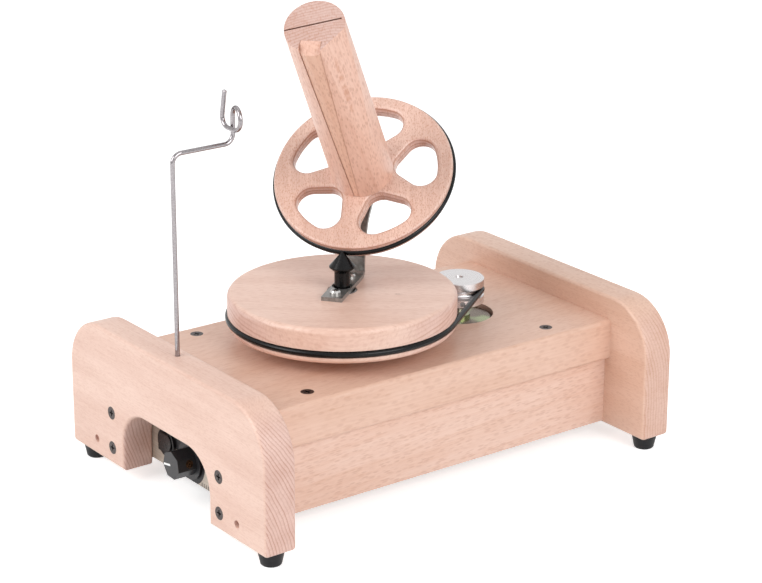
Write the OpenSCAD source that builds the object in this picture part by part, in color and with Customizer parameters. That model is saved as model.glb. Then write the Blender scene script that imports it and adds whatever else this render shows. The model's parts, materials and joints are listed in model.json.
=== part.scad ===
// Electric ball winder: wooden stand, belt-driven turntable, tilted winding head on a friction drive.
// Millimetres. Origin on the table under the middle of the stand. +X to the right end board,
// -Y to the front (the open working side), +Z up.

/* [Stand] */
// Length over both end boards
stand_length = 365.1; // [320:0.1:420]
// Depth of an end board, front to back
board_depth = 255.7; // [220:0.1:300]
// Height of an end board
board_height = 103; // [80:0.5:130]
// Thickness of an end board
board_thick = 25; // [18:0.5:32]
// Radius of the two top corners of an end board
board_corner = 40; // [10:1:50]
// Radius of the small bottom corners
board_foot_corner = 4; // [3.5:0.5:10]
// Front edge of the control notch
notch_front = -57.9; // [-70:0.1:-40]
// Back edge of the control notch
notch_back = 55.1; // [40:0.1:70]
// Height of the control notch
notch_height = 49.2; // [35:0.1:60]
// Corner radius of the control notch
notch_corner = 28; // [10:1:30]
// Front edge of the deck
deck_front = -87.5; // [-110:0.5:-70]
// Back edge of the deck
deck_back = 82.2; // [70:0.1:100]
// Top of the deck above the bottom of the end boards
deck_top_up = 85.1; // [70:0.1:95]
// Thickness of the deck
deck_thick = 31.5; // [18:0.5:35]
// Thickness of a rail
rail_thick = 22; // [16:0.5:28]
// Height of a rail
rail_height = 51.5; // [40:0.5:60]
// Outside distance over the two rails
rail_span = 164.4; // [140:0.2:200]
// Diameter of the accessory holes in the left end board
peg_hole_dia = 5.5; // [4:0.1:8]
// Depth of the accessory holes
peg_hole_depth = 15; // [8:1:20]
// Distance between the two accessory holes
peg_hole_span = 185.2; // [150:0.2:210]
// Height of the accessory holes above the bottom of the board
peg_hole_up = 13; // [8:0.5:30]

/* [Feet and screws] */
// Height of a rubber foot
foot_height = 11; // [6:0.5:16]
// Diameter of a foot at the board
foot_top_dia = 19; // [12:0.5:24]
// Diameter of a foot at the table
foot_bottom_dia = 15; // [10:0.5:22]
// Distance of a foot from the end of the board
foot_inset = 12.5; // [10:0.5:30]
// Head diameter of the countersunk wood screws
screw_head_dia = 9.6; // [6:0.1:12]
// Shank diameter of the countersunk wood screws
screw_shank_dia = 4.8; // [3:0.1:6]
// Length of the countersunk wood screws
screw_length = 60; // [40:1:80]
// Distance between the two screw lines of an end board
screw_line_span = 141.4; // [120:0.2:160]
// Height of the lower screws of an end board
end_screw_up = 13; // [8:0.5:20]
// Height from the lower to the upper screws of an end board
end_screw_gap = 27.2; // [15:0.1:35]
// Distance of the deck screws from the end boards
deck_screw_inset = 49.55; // [20:0.05:100]
// Thread diameter of the small machine screws
small_screw_dia = 4; // [3:0.1:5]

/* [Turntable] */
// Turntable axis along the stand
table_x = -26.9; // [-60:0.1:0]
// Turntable diameter
table_dia = 167.8; // [140:0.2:200]
// Turntable thickness
table_thick = 26.3; // [18:0.1:30]
// Top of the turntable above the top of the deck
table_top_up = 37.7; // [25:0.1:50]
// Height of the belt's middle above the top of the deck
belt_up = 18.8; // [10:0.1:30]
// Belt thickness
belt_dia = 4.5; // [3:0.1:6]
// Radius of the belt's middle round the turntable
belt_table_radius = 83.4; // [60:0.1:95]
// Clearance between the belt and its grooves
belt_clear = 0.4; // [0.3:0.05:1]
// Spindle diameter
spindle_dia = 8; // [6:0.5:12]
// Outside diameter of a ball bearing
bearing_dia = 22; // [16:0.5:28]
// Width of a ball bearing
bearing_width = 7; // [5:0.5:9]
// Running clearance of a bearing bore, on the radius
running_clear = 0.05; // [0.01:0.01:0.1]

/* [Motor and pulley] */
// Pulley axis along the stand
pulley_x = 76.2; // [50:0.1:120]
// Pulley axis front to back
pulley_y = -7.2; // [-40:0.1:40]
// Pulley diameter
pulley_dia = 37.2; // [20:0.1:60]
// Pulley height
pulley_height = 19; // [12:0.5:30]
// Radius of the belt's middle round the pulley
belt_pulley_radius = 16.9; // [8:0.1:28]
// Diameter of the motor hole in the deck
motor_hole_dia = 51.6; // [40:0.1:60]
// Motor diameter
motor_dia = 50; // [30:0.5:56]
// Depth of the motor's top below the deck's top
motor_recess = 2.6; // [1:0.1:10]
// Motor length
motor_length = 62; // [30:1:75]
// Motor shaft diameter
shaft_dia = 6; // [4:0.5:8]

/* [Winding head] */
// Direction that the head leans away from, in degrees from +X
head_azimuth = 37.3; // [0:0.1:90]
// Lean of the head from upright
head_tilt = 40.4; // [25:0.1:50]
// Diameter of the wheel over its friction ring
ring_dia = 137.6; // [100:0.2:180]
// Thickness of the friction ring
ring_thick = 4.6; // [3:0.1:6]
// Wheel thickness
wheel_thick = 12; // [8:0.5:18]
// Wheel diameter without its ring
wheel_dia = 134; // [100:0.5:170]
// Core diameter at the wheel
core_base_dia = 46; // [30:0.5:60]
// Core diameter at the free end
core_end_dia = 42.6; // [25:0.2:60]
// Core length
core_length = 177.5; // [120:0.5:220]
// Width of the saw kerf in the end of the core
kerf_width = 1.1; // [0.6:0.1:3]
// Depth of the saw kerf
kerf_depth = 24; // [5:1:60]
// Radius where the ring runs on the friction cone
contact_radius = 3.3; // [1:0.1:9]
// Modelled gap between the ring and the friction cone
contact_gap = 0.35; // [0.3:0.05:0.6]

/* [Friction cone and bracket] */
// Height of the cone's tip above the top of the turntable
cone_tip_up = 29.5; // [20:0.1:50]
// Greatest diameter of the cone
cone_dia = 19; // [12:0.5:30]
// Diameter of the cone's stem
cone_stem_dia = 11.5; // [8:0.5:16]
// Width of the steel bracket
bracket_width = 15.5; // [10:0.5:25]
// Thickness of the steel bracket
bracket_thick = 3; // [2:0.1:5]
// Gap between the wheel and the bracket
bracket_gap = 5; // [2:0.5:12]
// Diameter of the spindle hole in the bracket
bracket_hole_dia = 15; // [12:0.5:15]

/* [Yarn guide] */
// Wire thickness
wire_dia = 3.3; // [2:0.1:5]
// Distance of the guide's axis from the outer face of the left end board
guide_inset = 14.75; // [8:0.05:18]
// Guide axis front to back
guide_y = 1.5; // [-20:0.1:20]
// Depth of the guide's hole in the board
guide_hole_depth = 42; // [20:1:60]
// Height of the arm above the top of the board
guide_arm_up = 146; // [80:1:200]
// Reach of the arm
guide_reach = 49.5; // [30:1:90]
// Diameter of the pigtail eye
eye_dia = 15.5; // [10:0.5:25]

/* [Controls] */
// Thickness of the control plate
plate_thick = 2; // [1:0.1:4]
// Width of the control plate, front to back
plate_width = 116; // [100:0.5:130]
// Length of the circuit board, front to back
circuit_length = 60; // [50:0.5:90]
// Height of the circuit board
circuit_height = 34; // [20:0.5:40]
// Knob axis, front to back
knob_y = 3.5; // [-20:0.5:20]
// Knob axis above the bottom of the board
knob_up = 20.6; // [15:0.1:35]
// Knob width over corners
knob_dia = 21.2; // [14:0.1:30]
// Diameter of the thin skirt behind the knob
knob_skirt_dia = 28.5; // [20:0.5:32]
// Knob depth
knob_depth = 17; // [12:0.5:20]
// Height of the knob's set screw above the plate
set_screw_up = 7.3; // [6:0.1:9]
// Diameter of the knob's set screw
set_screw_dia = 6; // [3:0.5:6]
// Turn of the knob at rest: its pointer this far below level
knob_rest = 10.3; // [-30:0.1:120]
// Switch position, front to back
switch_y = 34.5; // [28:0.5:45]
// Switch position above the bottom of the board
switch_up = 23.5; // [15:0.5:35]
// Diameter of the switch bezel
switch_dia = 21.4; // [17:0.2:27]
// Socket position, front to back
socket_y = -40; // [-45:0.5:-20]
// Socket position above the bottom of the board
socket_up = 27; // [10:0.5:35]

/* [Hidden] */
eps = 0.02;
z_board = foot_height;
z_board_top = z_board + board_height;
z_deck = z_board + deck_top_up;
z_deck_low = z_deck - deck_thick;
x_out = stand_length / 2;
x_in = x_out - board_thick;
z_table = z_deck + table_top_up;
z_table_low = z_table - table_thick;
z_belt = z_deck + belt_up;
table_r = table_dia / 2;
spindle_r = spindle_dia / 2;
bearing_r = bearing_dia / 2;
z_tip = z_table + cone_tip_up;
ring_r = ring_dia / 2;
head_s = contact_radius + (ring_r + contact_gap) * cos(head_tilt) - wheel_thick / 2 * sin(head_tilt);
head_z = z_tip - contact_radius / tan(head_tilt) + (ring_r + contact_gap) * sin(head_tilt)
    + wheel_thick / 2 * cos(head_tilt);
plate_w = wheel_thick + bracket_gap;
plate_s = head_s + (plate_w + bracket_thick / 2) * sin(head_tilt);
plate_z = head_z - (plate_w + bracket_thick / 2) * cos(head_tilt);
wire_r = wire_dia / 2;
plate_x = -x_in;
guide_x = guide_inset - x_out;
plate_half = plate_width / 2;
standoff_len = 14;
knob_flat = knob_dia / 2 * cos(180 / 7);
rocker_r = switch_dia / 2 - 2.6;
flange_dia = motor_dia + 7 * small_screw_dia;
motor_screw_r = motor_dia / 2 + 2 * small_screw_dia;
nut_across = 1.625 * spindle_dia;
nut_high = 0.8125 * spindle_dia;
washer_thick = 0.2 * spindle_dia;
// Which node to draw

module board_outline(notched) {
    b = board_depth / 2;
    r = board_corner;
    f = board_foot_corner;
    n = notch_corner;
    difference() {
        union() {
            translate([-b, f])
                square([2 * b, board_height - r - f]);
            translate([f - b, 0])
                square([2 * (b - f), f + 1]);
            translate([r - b, board_height - r - 1])
                square([2 * (b - r), r + 1]);
            for (y = [r - b, b - r])
                translate([y, board_height - r])
                    circle(r = r, $fn = 96);
            for (y = [f - b, b - f])
                translate([y, f])
                    circle(r = f, $fn = 24);
        }
        if (notched) {
            translate([notch_front, -1])
                square([notch_back - notch_front, notch_height - n + 1]);
            translate([notch_front + n, -1])
                square([notch_back - notch_front - 2 * n, notch_height + 1]);
            for (y = [notch_front + n, notch_back - n])
                translate([y, notch_height - n])
                    circle(r = n, $fn = 72);
        }
    }
}

module end_board(notched) {
    translate([0, 0, z_board])
        rotate([90, 0, 90])
            linear_extrude(board_thick)
                board_outline(notched);
}

// Countersunk screw pointing down, its head flush at z = 0
module wood_screw(len, grow) {
    hr = screw_head_dia / 2 + grow;
    sr = screw_shank_dia / 2 + grow;
    rotate_extrude($fn = 24)
        polygon([[0, 0], [hr, 0], [hr, -0.5 - grow], [sr, -0.5 - (hr - sr) - grow], [sr, 3 - len],
            [0.6, -len], [0, -len]]);
}

module cross_recess(size, depth) {
    for (a = [0, 90])
        rotate([0, 0, a])
            translate([-size / 2, -size / 9, -depth])
                cube([size, size / 4.5, depth + 1]);
}

module drawn_screw(len) {
    difference() {
        wood_screw(len, 0);
        cross_recess(5, 2);
    }
}

// Pan-head screw pointing down, the underside of its head at z = 0
module pan_screw(head_d, head_h, shank_d, len) {
    difference() {
        union() {
            rotate_extrude($fn = 24)
                polygon([[0, -len], [shank_d / 2, -len], [shank_d / 2, 0], [head_d / 2, 0],
                    [head_d / 2, head_h * 0.45], [head_d * 0.36, head_h * 0.9],
                    [head_d * 0.2, head_h], [0, head_h]]);
        }
        translate([0, 0, head_h])
            cross_recess(head_d * 0.55, head_h * 0.6);
    }
}

module machine_screw() {
    pan_screw(2 * small_screw_dia, 0.75 * small_screw_dia, small_screw_dia, 18);
}

module end_screw_places() {
    for (y = [-screw_line_span / 2, screw_line_span / 2])
        for (z = [end_screw_up, end_screw_up + end_screw_gap])
            translate([0, y, z_board + z])
                children();
}

module left_screws(grow) {
    translate([-x_out, 0, 0])
        end_screw_places()
            rotate([0, -90, 0])
                if (grow > 0) wood_screw(screw_length, grow);
                else drawn_screw(screw_length);
}

module right_screws(grow) {
    translate([x_out, 0, 0])
        end_screw_places()
            rotate([0, 90, 0])
                if (grow > 0) wood_screw(screw_length, grow);
                else drawn_screw(screw_length);
}

module deck_screw_places() {
    for (x = [deck_screw_inset - x_in, x_in - deck_screw_inset])
        for (y = [-screw_line_span / 2, screw_line_span / 2])
            translate([x, y, z_deck])
                children();
}

module foot_places() {
    for (x = [-x_out + foot_inset, x_out - foot_inset])
        for (y = [-board_depth / 2 + foot_inset, board_depth / 2 - foot_inset])
            translate([x, y, 0])
                children();
}

module foot_holes() {
    foot_places()
        translate([0, 0, z_board - 1])
            cylinder(d = 3.5, h = 23, $fn = 24);
}

module left_end_board() {
    color("burlywood")
        difference() {
            translate([-x_out, 0, 0])
                end_board(true);
            left_screws(eps);
            foot_holes();
            for (y = [-peg_hole_span / 2, peg_hole_span / 2])
                translate([-x_out - 1, y, z_board + peg_hole_up])
                    rotate([0, 90, 0])
                        cylinder(d = peg_hole_dia, h = peg_hole_depth + 1, $fn = 32);
            translate([guide_x, guide_y, z_board_top - guide_hole_depth])
                cylinder(r = wire_r + running_clear, h = guide_hole_depth + 1, $fn = 32);
        }
}

module right_end_board() {
    color("burlywood")
        difference() {
            translate([x_in, 0, 0])
                end_board(false);
            right_screws(eps);
            foot_holes();
        }
}

module deck_profile() {
    r = 3;
    union() {
        translate([deck_front + r, z_deck_low])
            square([deck_back - deck_front - r, deck_thick]);
        translate([deck_front, z_deck_low + r])
            square([r + 1, deck_thick - 2 * r]);
        for (z = [z_deck_low + r, z_deck - r])
            translate([deck_front + r, z])
                circle(r = r, $fn = 32);
    }
}

module along_x(length) {
    translate([-length / 2, 0, 0])
        rotate([90, 0, 90])
            linear_extrude(length)
                children();
}

module deck_board() {
    color("burlywood")
        difference() {
            along_x(2 * x_in)
                deck_profile();
            translate([pulley_x, pulley_y, z_deck_low - 1])
                cylinder(d = motor_hole_dia, h = deck_thick + 2, $fn = 64);
            translate([table_x, 0, z_deck_low - 1])
                cylinder(r = spindle_r + eps, h = deck_thick + 2, $fn = 32);
            deck_screw_places()
                wood_screw(screw_length + 5, eps);
            motor_screw_places()
                translate([0, 0, -1])
                    cylinder(d = small_screw_dia + 2 * eps, h = 19, $fn = 24);
            control_screw_places()
                translate([0, 0, -1])
                    cylinder(d = 3.5 + 2 * eps, h = 15, $fn = 24);
        }
}

module rail(y0) {
    difference() {
        translate([-x_in, y0, z_deck_low - rail_height])
            cube([2 * x_in, rail_thick, rail_height]);
        left_screws(eps);
        right_screws(eps);
        deck_screw_places()
            wood_screw(screw_length + 5, eps);
    }
}

module front_rail() {
    color("burlywood")
        rail(-rail_span / 2);
}

module back_rail() {
    color("burlywood")
        rail(rail_span / 2 - rail_thick);
}

module end_board_screws() {
    color("dimgray") {
        left_screws(0);
        right_screws(0);
    }
}

module deck_screws() {
    color("dimgray")
        deck_screw_places()
            drawn_screw(screw_length + 5);
}

module rubber_feet() {
    color("#222222")
        foot_places()
            rotate_extrude($fn = 40)
                polygon([[5.2, 0], [foot_bottom_dia / 2 - 0.8, 0], [foot_bottom_dia / 2, 0.8],
                    [foot_top_dia / 2, z_board - 1.2], [foot_top_dia / 2, z_board], [2.2, z_board],
                    [2.2, 5], [5.2, 5]]);
}

module foot_screws() {
    color("silver")
        foot_places()
            translate([0, 0, 5])
                rotate([180, 0, 0])
                    pan_screw(7.6, 2.8, 3.4, 27);
}

module control_hole(y, up, d) {
    translate([plate_x - 1, y, z_board + up])
        rotate([0, 90, 0])
            cylinder(d = d, h = plate_thick + 2, $fn = 32);
}

module control_screw_places() {
    for (y = [18 - plate_half, plate_half - 18])
        translate([plate_x + 11, y, z_deck_low])
            children();
}

module control_plate() {
    color("lightgray")
        difference() {
            union() {
                translate([plate_x, -plate_half, z_board + 4.4])
                    cube([plate_thick, plate_width, z_deck_low - z_board - 4.4]);
                translate([plate_x, -plate_half, z_deck_low - plate_thick])
                    cube([20, plate_width, plate_thick]);
            }
            control_hole(knob_y, knob_up, 7 + 2 * eps);
            control_hole(socket_y, socket_up, 8 + 2 * eps);
            control_hole(switch_y, switch_up, switch_dia - 2);
            control_screw_places()
                translate([0, 0, -plate_thick - 1])
                    cylinder(d = 4, h = plate_thick + 2, $fn = 24);
        }
}

module control_plate_screws() {
    color("silver")
        control_screw_places()
            translate([0, 0, -plate_thick])
                rotate([180, 0, 0])
                    pan_screw(7, 2.4, 3.5, 14);
}

module on_plate(y, up) {
    translate([plate_x, y, z_board + up])
        rotate([0, -90, 0])
            children();
}

module speed_potentiometer() {
    color("gray")
        on_plate(knob_y, knob_up)
            difference() {
                union() {
                    translate([0, 0, -plate_thick - 9.5])
                        cylinder(d = 17, h = 9.5, $fn = 40);
                    translate([0, 0, -plate_thick - 0.01])
                        cylinder(d = 7, h = plate_thick + 3.2, $fn = 32);
                    translate([-14, -6, -plate_thick - 8.2])
                        cube([9, 12, 1.6]);
                }
                translate([0, 0, -plate_thick - 7])
                    cylinder(d = 3 + 2 * 0.06, h = 20, $fn = 24);
            }
}

module potentiometer_nut() {
    color("silver")
        on_plate(knob_y, knob_up)
            difference() {
                cylinder(d = 11.5, h = 2, $fn = 6);
                translate([0, 0, -1])
                    cylinder(d = 7 + 2 * eps, h = 4, $fn = 32);
            }
}

module switch_housing() {
    color("#1c1c1c")
        on_plate(switch_y, switch_up)
            difference() {
                union() {
                    cylinder(d = switch_dia, h = 2, $fn = 48);
                    translate([0, 0, -plate_thick - 12])
                        cylinder(d = switch_dia - 2.2, h = plate_thick + 12.01, $fn = 48);
                    for (x = [-6, 0, 6])
                        translate([x - 0.4, -2.4, -plate_thick - 19])
                            cube([0.8, 4.8, 7.1]);
                }
                translate([0, 0, -7])
                    cylinder(r = rocker_r + 0.7, h = 12, $fn = 48);
            }
}

module switch_rocker() {
    color("#111111")
        on_plate(switch_y, switch_up)
            rotate([0, 8, 0])
                intersection() {
                    translate([0, 0, -3])
                        cylinder(r = rocker_r, h = 9, $fn = 48);
                    rotate([90, 0, 0])
                        difference() {
                            cylinder(r = 7.6, h = switch_dia, center = true, $fn = 48);
                            translate([0, 20.5, 0])
                                cylinder(r = 17.6, h = switch_dia + 2, center = true, $fn = 64);
                        }
                }
}

module power_socket() {
    color("#1a1a1a")
        on_plate(socket_y, socket_up)
            difference() {
                union() {
                    translate([0, 0, 0.01])
                        cylinder(d = 11, h = 3.4, $fn = 40);
                    translate([0, 0, -plate_thick - 9])
                        cylinder(d = 8, h = plate_thick + 9.1, $fn = 40);
                    translate([0, 0, -plate_thick - 2.4])
                        cylinder(d = 11, h = 2.4, $fn = 6);
                }
                translate([0, 0, -plate_thick - 6.5])
                    difference() {
                        cylinder(d = 5.7, h = 20, $fn = 32);
                        translate([0, 0, -1])
                            cylinder(d = 2, h = 10, $fn = 24);
                    }
            }
}

module speed_circuit_board() {
    x0 = plate_x + plate_thick + standoff_len;
    x1 = x0 + 1.6;
    zc = z_board + 7;
    color("darkgreen") {
        translate([x0, -circuit_length / 2, zc])
            cube([1.6, circuit_length, circuit_height]);
        translate([x1, 10 - circuit_length / 2, zc + 5])
            cube([11, 12, circuit_height - 12]);
        for (y = [2, 16])
            translate([x1, y, zc + circuit_height - 14])
                rotate([0, 90, 0])
                    cylinder(d = 9, h = 14, $fn = 32);
        translate([x1, circuit_length / 2 - 10, zc + 3])
            cube([8, 7, 12]);
    }
}

module board_standoffs() {
    color("silver")
        for (y = [3.5 - circuit_length / 2, circuit_length / 2 - 3.5])
            translate([plate_x + plate_thick, y, z_board + 3.5 + circuit_height])
                rotate([0, 90, 0])
                    cylinder(d = 5, h = standoff_len, $fn = 6);
}

module motor_screw_places() {
    for (a = [45:90:315])
        translate([pulley_x + motor_screw_r * cos(a), pulley_y + motor_screw_r * sin(a), z_deck_low])
            children();
}

module drive_motor() {
    top = z_deck - motor_recess;
    color("darkkhaki")
        translate([pulley_x, pulley_y, 0])
            difference() {
                union() {
                    translate([0, 0, top - motor_length])
                        cylinder(d = motor_dia, h = motor_length - 1.5, $fn = 64);
                    translate([0, 0, top - 2])
                        cylinder(d = motor_dia - 3, h = 2, $fn = 64);
                    translate([0, 0, top - 1])
                        cylinder(d = 17, h = 3.4, $fn = 40);
                    translate([0, 0, top - motor_length - 5])
                        cylinder(d = 14, h = 6, $fn = 32);
                }
                translate([0, 0, top - 40])
                    cylinder(d = shaft_dia + 2 * running_clear, h = 60, $fn = 32);
            }
}

module motor_flange() {
    color("silver")
        translate([pulley_x, pulley_y, 0])
            difference() {
                translate([0, 0, z_deck_low - 3])
                    cylinder(d = flange_dia, h = 3, $fn = 64);
                translate([0, 0, z_deck_low - 4])
                    cylinder(d = motor_dia + 2 * eps, h = 5, $fn = 64);
                for (a = [45:90:315])
                    rotate([0, 0, a])
                        translate([motor_screw_r, 0, z_deck_low - 4])
                            cylinder(d = small_screw_dia + 0.4, h = 5, $fn = 24);
            }
}

module motor_flange_screws() {
    color("silver")
        motor_screw_places()
            translate([0, 0, -3])
                rotate([180, 0, 0])
                    machine_screw();
}

module centre_spindle() {
    color("silver")
        translate([table_x, 0, z_deck_low - 12])
            cylinder(r = spindle_r, h = z_tip - 13 - z_deck_low + 12, $fn = 40);
}

module hex_nut(r, across, h) {
    difference() {
        cylinder(d = across / cos(30), h = h, $fn = 6);
        translate([0, 0, -1])
            cylinder(r = r + eps, h = h + 2, $fn = 32);
    }
}

module washer(r, out_r, h) {
    difference() {
        cylinder(r = out_r, h = h, $fn = 40);
        translate([0, 0, -1])
            cylinder(r = r, h = h + 2, $fn = 32);
    }
}

module spindle_washers() {
    color("silver")
        translate([table_x, 0, 0]) {
            translate([0, 0, z_deck])
                washer(spindle_r + 0.2, 2 * spindle_r, washer_thick);
            translate([0, 0, z_deck_low - washer_thick])
                washer(spindle_r + 0.2, 3 * spindle_r, washer_thick);
        }
}

module spindle_nuts() {
    color("silver")
        translate([table_x, 0, 0]) {
            translate([0, 0, z_deck + washer_thick])
                hex_nut(spindle_r, nut_across, nut_high);
            translate([0, 0, z_deck_low - washer_thick - nut_high])
                hex_nut(spindle_r, nut_across, nut_high);
        }
}

module spindle_spacer() {
    color("silver")
        translate([table_x, 0, z_deck + washer_thick + nut_high])
            washer(spindle_r + eps, 1.5 * spindle_r, z_table_low - z_deck - washer_thick - nut_high - 0.1);
}

module bearing(grow) {
    difference() {
        union() {
            washer(spindle_r + grow, bearing_r, bearing_width);
        }
        for (z = [-1, bearing_width - 0.4])
            translate([0, 0, z])
                difference() {
                    cylinder(r = 9.3, h = 1.4, $fn = 40);
                    translate([0, 0, -1])
                        cylinder(r = 6.1, h = 4, $fn = 40);
                }
    }
}

module friction_cone() {
    r = cone_dia / 2;
    sr = cone_stem_dia / 2;
    low = z_table - 0.6;
    zw = z_tip - r / tan(head_tilt);
    br = spindle_r + eps;
    color("#202020")
        translate([table_x, 0, 0])
            rotate_extrude($fn = 48)
                polygon([[br, low], [sr, low], [sr, zw - 0.9 - (r - sr) * 0.9], [r, zw - 0.9], [r, zw],
                    [0.25, z_tip - 0.25 / tan(head_tilt)], [0, z_tip - 0.25 / tan(head_tilt)],
                    [0, z_tip - 12.5], [br, z_tip - 12.5]]);
}

belt_dx = pulley_x - table_x;
belt_d = sqrt(belt_dx * belt_dx + pulley_y * pulley_y);
belt_dir = atan2(pulley_y, belt_dx);
belt_wrap = acos((belt_table_radius - belt_pulley_radius) / belt_d);
belt_free = sqrt(belt_d * belt_d - pow(belt_table_radius - belt_pulley_radius, 2));

module belt_arc(r, a0, a1) {
    rotate([0, 0, a0])
        rotate_extrude(angle = a1 - a0, $fn = 96)
            translate([r, 0])
                circle(d = belt_dia, $fn = 20);
}

// Short sleeve that joins two round pieces end to end
module sleeve(d) {
    cylinder(d = d + 0.04, h = 0.6, center = true, $fn = 20);
}

module belt_run(side) {
    rotate([0, 0, side * belt_wrap])
        translate([belt_table_radius, 0, 0])
            rotate([side * 90, 0, 0]) {
                cylinder(d = belt_dia, h = belt_free, $fn = 20);
                sleeve(belt_dia);
                translate([0, 0, belt_free])
                    sleeve(belt_dia);
            }
}

module drive_belt() {
    color("#202020")
        translate([table_x, 0, z_belt])
            rotate([0, 0, belt_dir]) {
                belt_arc(belt_table_radius, belt_wrap, 360 - belt_wrap);
                translate([belt_d, 0, 0])
                    belt_arc(belt_pulley_radius, -belt_wrap, belt_wrap);
                belt_run(1);
                belt_run(-1);
            }
}

module turntable_profile() {
    r = 4;
    rl = 4;
    difference() {
        union() {
            translate([0, z_table_low])
                square([table_r - rl, table_thick]);
            translate([0, z_table_low + rl])
                square([table_r, table_thick - rl - r]);
            translate([table_r - r - 3, z_table - r - 1])
                square([3, r + 1]);
            translate([table_r - r, z_table - r])
                circle(r = r, $fn = 32);
            translate([table_r - rl, z_table_low + rl])
                circle(r = rl, $fn = 32);
        }
        translate([belt_table_radius, z_belt])
            circle(r = belt_dia / 2 + belt_clear, $fn = 32);
        translate([belt_table_radius, z_belt - belt_dia / 2 - belt_clear])
            square([10, belt_dia + 2 * belt_clear]);
        translate([-10, z_table_low - 1])
            square([10, table_thick + 2]);
    }
}

module turntable() {
    color("burlywood")
        difference() {
            translate([table_x, 0, 0])
                rotate_extrude($fn = 96)
                    turntable_profile();
            translate([table_x, 0, z_table_low - 1])
                cylinder(r = 7, h = table_thick + 2, $fn = 40);
            translate([table_x, 0, z_table - bearing_width - 0.8])
                cylinder(r = bearing_r + eps, h = 20, $fn = 48);
            translate([table_x, 0, z_table_low - 1])
                cylinder(r = bearing_r + eps, h = bearing_width + 1, $fn = 48);
            bracket_screw_places()
                translate([0, 0, -17])
                    cylinder(d = small_screw_dia + 2 * eps, h = 30, $fn = 24);
        }
}

module upper_bearing() {
    color("silver")
        translate([table_x, 0, z_table - bearing_width - 0.8])
            bearing(running_clear);
}

module lower_bearing() {
    color("silver")
        translate([table_x, 0, z_table_low])
            bearing(running_clear);
}

// The bracket's middle line in its own upright plane: distance from the turntable axis, height
bz = z_table + bracket_thick / 2;
bracket_path = [[-27, bz], [26.5, bz], [29.4, bz + 0.8], [31.2, bz + 3], [31.8, bz + 12], [33.2, bz + 21],
    [36, bz + 30.5], [40, bz + 38.2], [44.6, bz + 43],
    [plate_s - 18 * cos(head_tilt), plate_z - 18 * sin(head_tilt)],
    [plate_s + 11 * cos(head_tilt), plate_z + 11 * sin(head_tilt)]];

function unit(v) = v / norm(v);
function path_dir(p, i) = unit(p[min(i + 1, len(p) - 1)] - p[max(i - 1, 0)]);
function seg(p, i) = unit(p[i + 1] - p[i]);
function mitre(p, i) = i == 0 || i == len(p) - 1 ? 1 : 1 / cos(acos(min(1, seg(p, i - 1) * seg(p, i))) / 2);
function side_point(p, i, w) = let (d = i == 0 ? seg(p, 0) : i == len(p) - 1 ? seg(p, i - 1)
    : unit(seg(p, i - 1) + seg(p, i))) p[i] + w * mitre(p, i) * [-d[1], d[0]];
function strip(p, w) = concat([for (i = [0:len(p) - 1]) side_point(p, i, w)],
    [for (i = [len(p) - 1:-1:0]) side_point(p, i, -w)]);

module in_bracket_plane() {
    translate([table_x, 0, 0])
        rotate([0, 0, head_azimuth])
            children();
}

module in_head() {
    in_bracket_plane()
        translate([head_s, 0, head_z])
            rotate([0, -head_tilt, 0])
                children();
}

module bracket_screw_places() {
    in_bracket_plane()
        for (s = [-17.5, 20.5])
            translate([s, 0, z_table])
                children();
}

module head_bracket() {
    color("silver")
        difference() {
            in_bracket_plane()
                translate([0, bracket_width / 2, 0])
                    rotate([90, 0, 0])
                        linear_extrude(bracket_width)
                            polygon(strip(bracket_path, bracket_thick / 2));
            in_bracket_plane()
                translate([0, 0, z_table - 1])
                    cylinder(d = bracket_hole_dia, h = bracket_thick + 2, $fn = 40);
            bracket_screw_places()
                translate([0, 0, -1])
                    cylinder(d = small_screw_dia + 0.4, h = bracket_thick + 2, $fn = 24);
            in_head()
                translate([0, 0, -plate_w - bracket_thick - 1])
                    cylinder(r = spindle_r + eps, h = bracket_thick + 2, $fn = 32);
        }
}

module bracket_screws() {
    color("silver")
        bracket_screw_places()
            translate([0, 0, bracket_thick])
                machine_screw();
}

axle_low = plate_w + bracket_thick + 5.5;
module head_axle() {
    color("silver")
        in_head() {
            translate([0, 0, -axle_low])
                cylinder(d = nut_across / cos(30), h = 5.5, $fn = 6);
            translate([0, 0, -axle_low + 5.49])
                cylinder(r = spindle_r, h = axle_low - 5.49 + 18, $fn = 40);
        }
}

module axle_spacer() {
    color("silver")
        in_head()
            translate([0, 0, -plate_w])
                washer(spindle_r + eps, 6.5, bracket_gap - 0.1);
}

module axle_nut() {
    color("silver")
        in_head()
            translate([0, 0, bearing_width + 0.1])
                hex_nut(spindle_r, nut_across, nut_high + 1);
}

// Outline of one opening of the wheel
open_out = 55.4;
open_corner = 11.3;
open_in = 10.8;
open_in_x = 34.5;
open_side_y = 8.4;
// Turn of the first opening round the wheel
open_turn = -1.6;
open_corner_x = sqrt(pow(open_out - open_corner, 2) - open_side_y * open_side_y);
open_a = asin(open_side_y / (open_out - open_corner));
open_link = norm([open_corner_x - open_in_x, open_side_y]);
open_t = atan2(open_side_y, open_corner_x - open_in_x) + acos((open_corner - open_in) / open_link);
function arc_points(x, y, r, start, end, steps) =
    [for (k = [0:steps]) [x + r * cos(start + (end - start) * k / steps),
        y + r * sin(start + (end - start) * k / steps)]];

module wheel_opening() {
    rim = arc_points(0, 0, open_out, -open_a, open_a, 6);
    translate([0, 0, -wheel_thick - 1])
        linear_extrude(wheel_thick + 2)
            polygon(concat(
                arc_points(open_in_x, 0, open_in, open_t, 360 - open_t, 20),
                arc_points(open_corner_x, -open_side_y, open_corner, -open_t, -open_a, 12),
                [for (k = [1:5]) rim[k]],
                arc_points(open_corner_x, open_side_y, open_corner, open_a, open_t, 12)));
}

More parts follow.
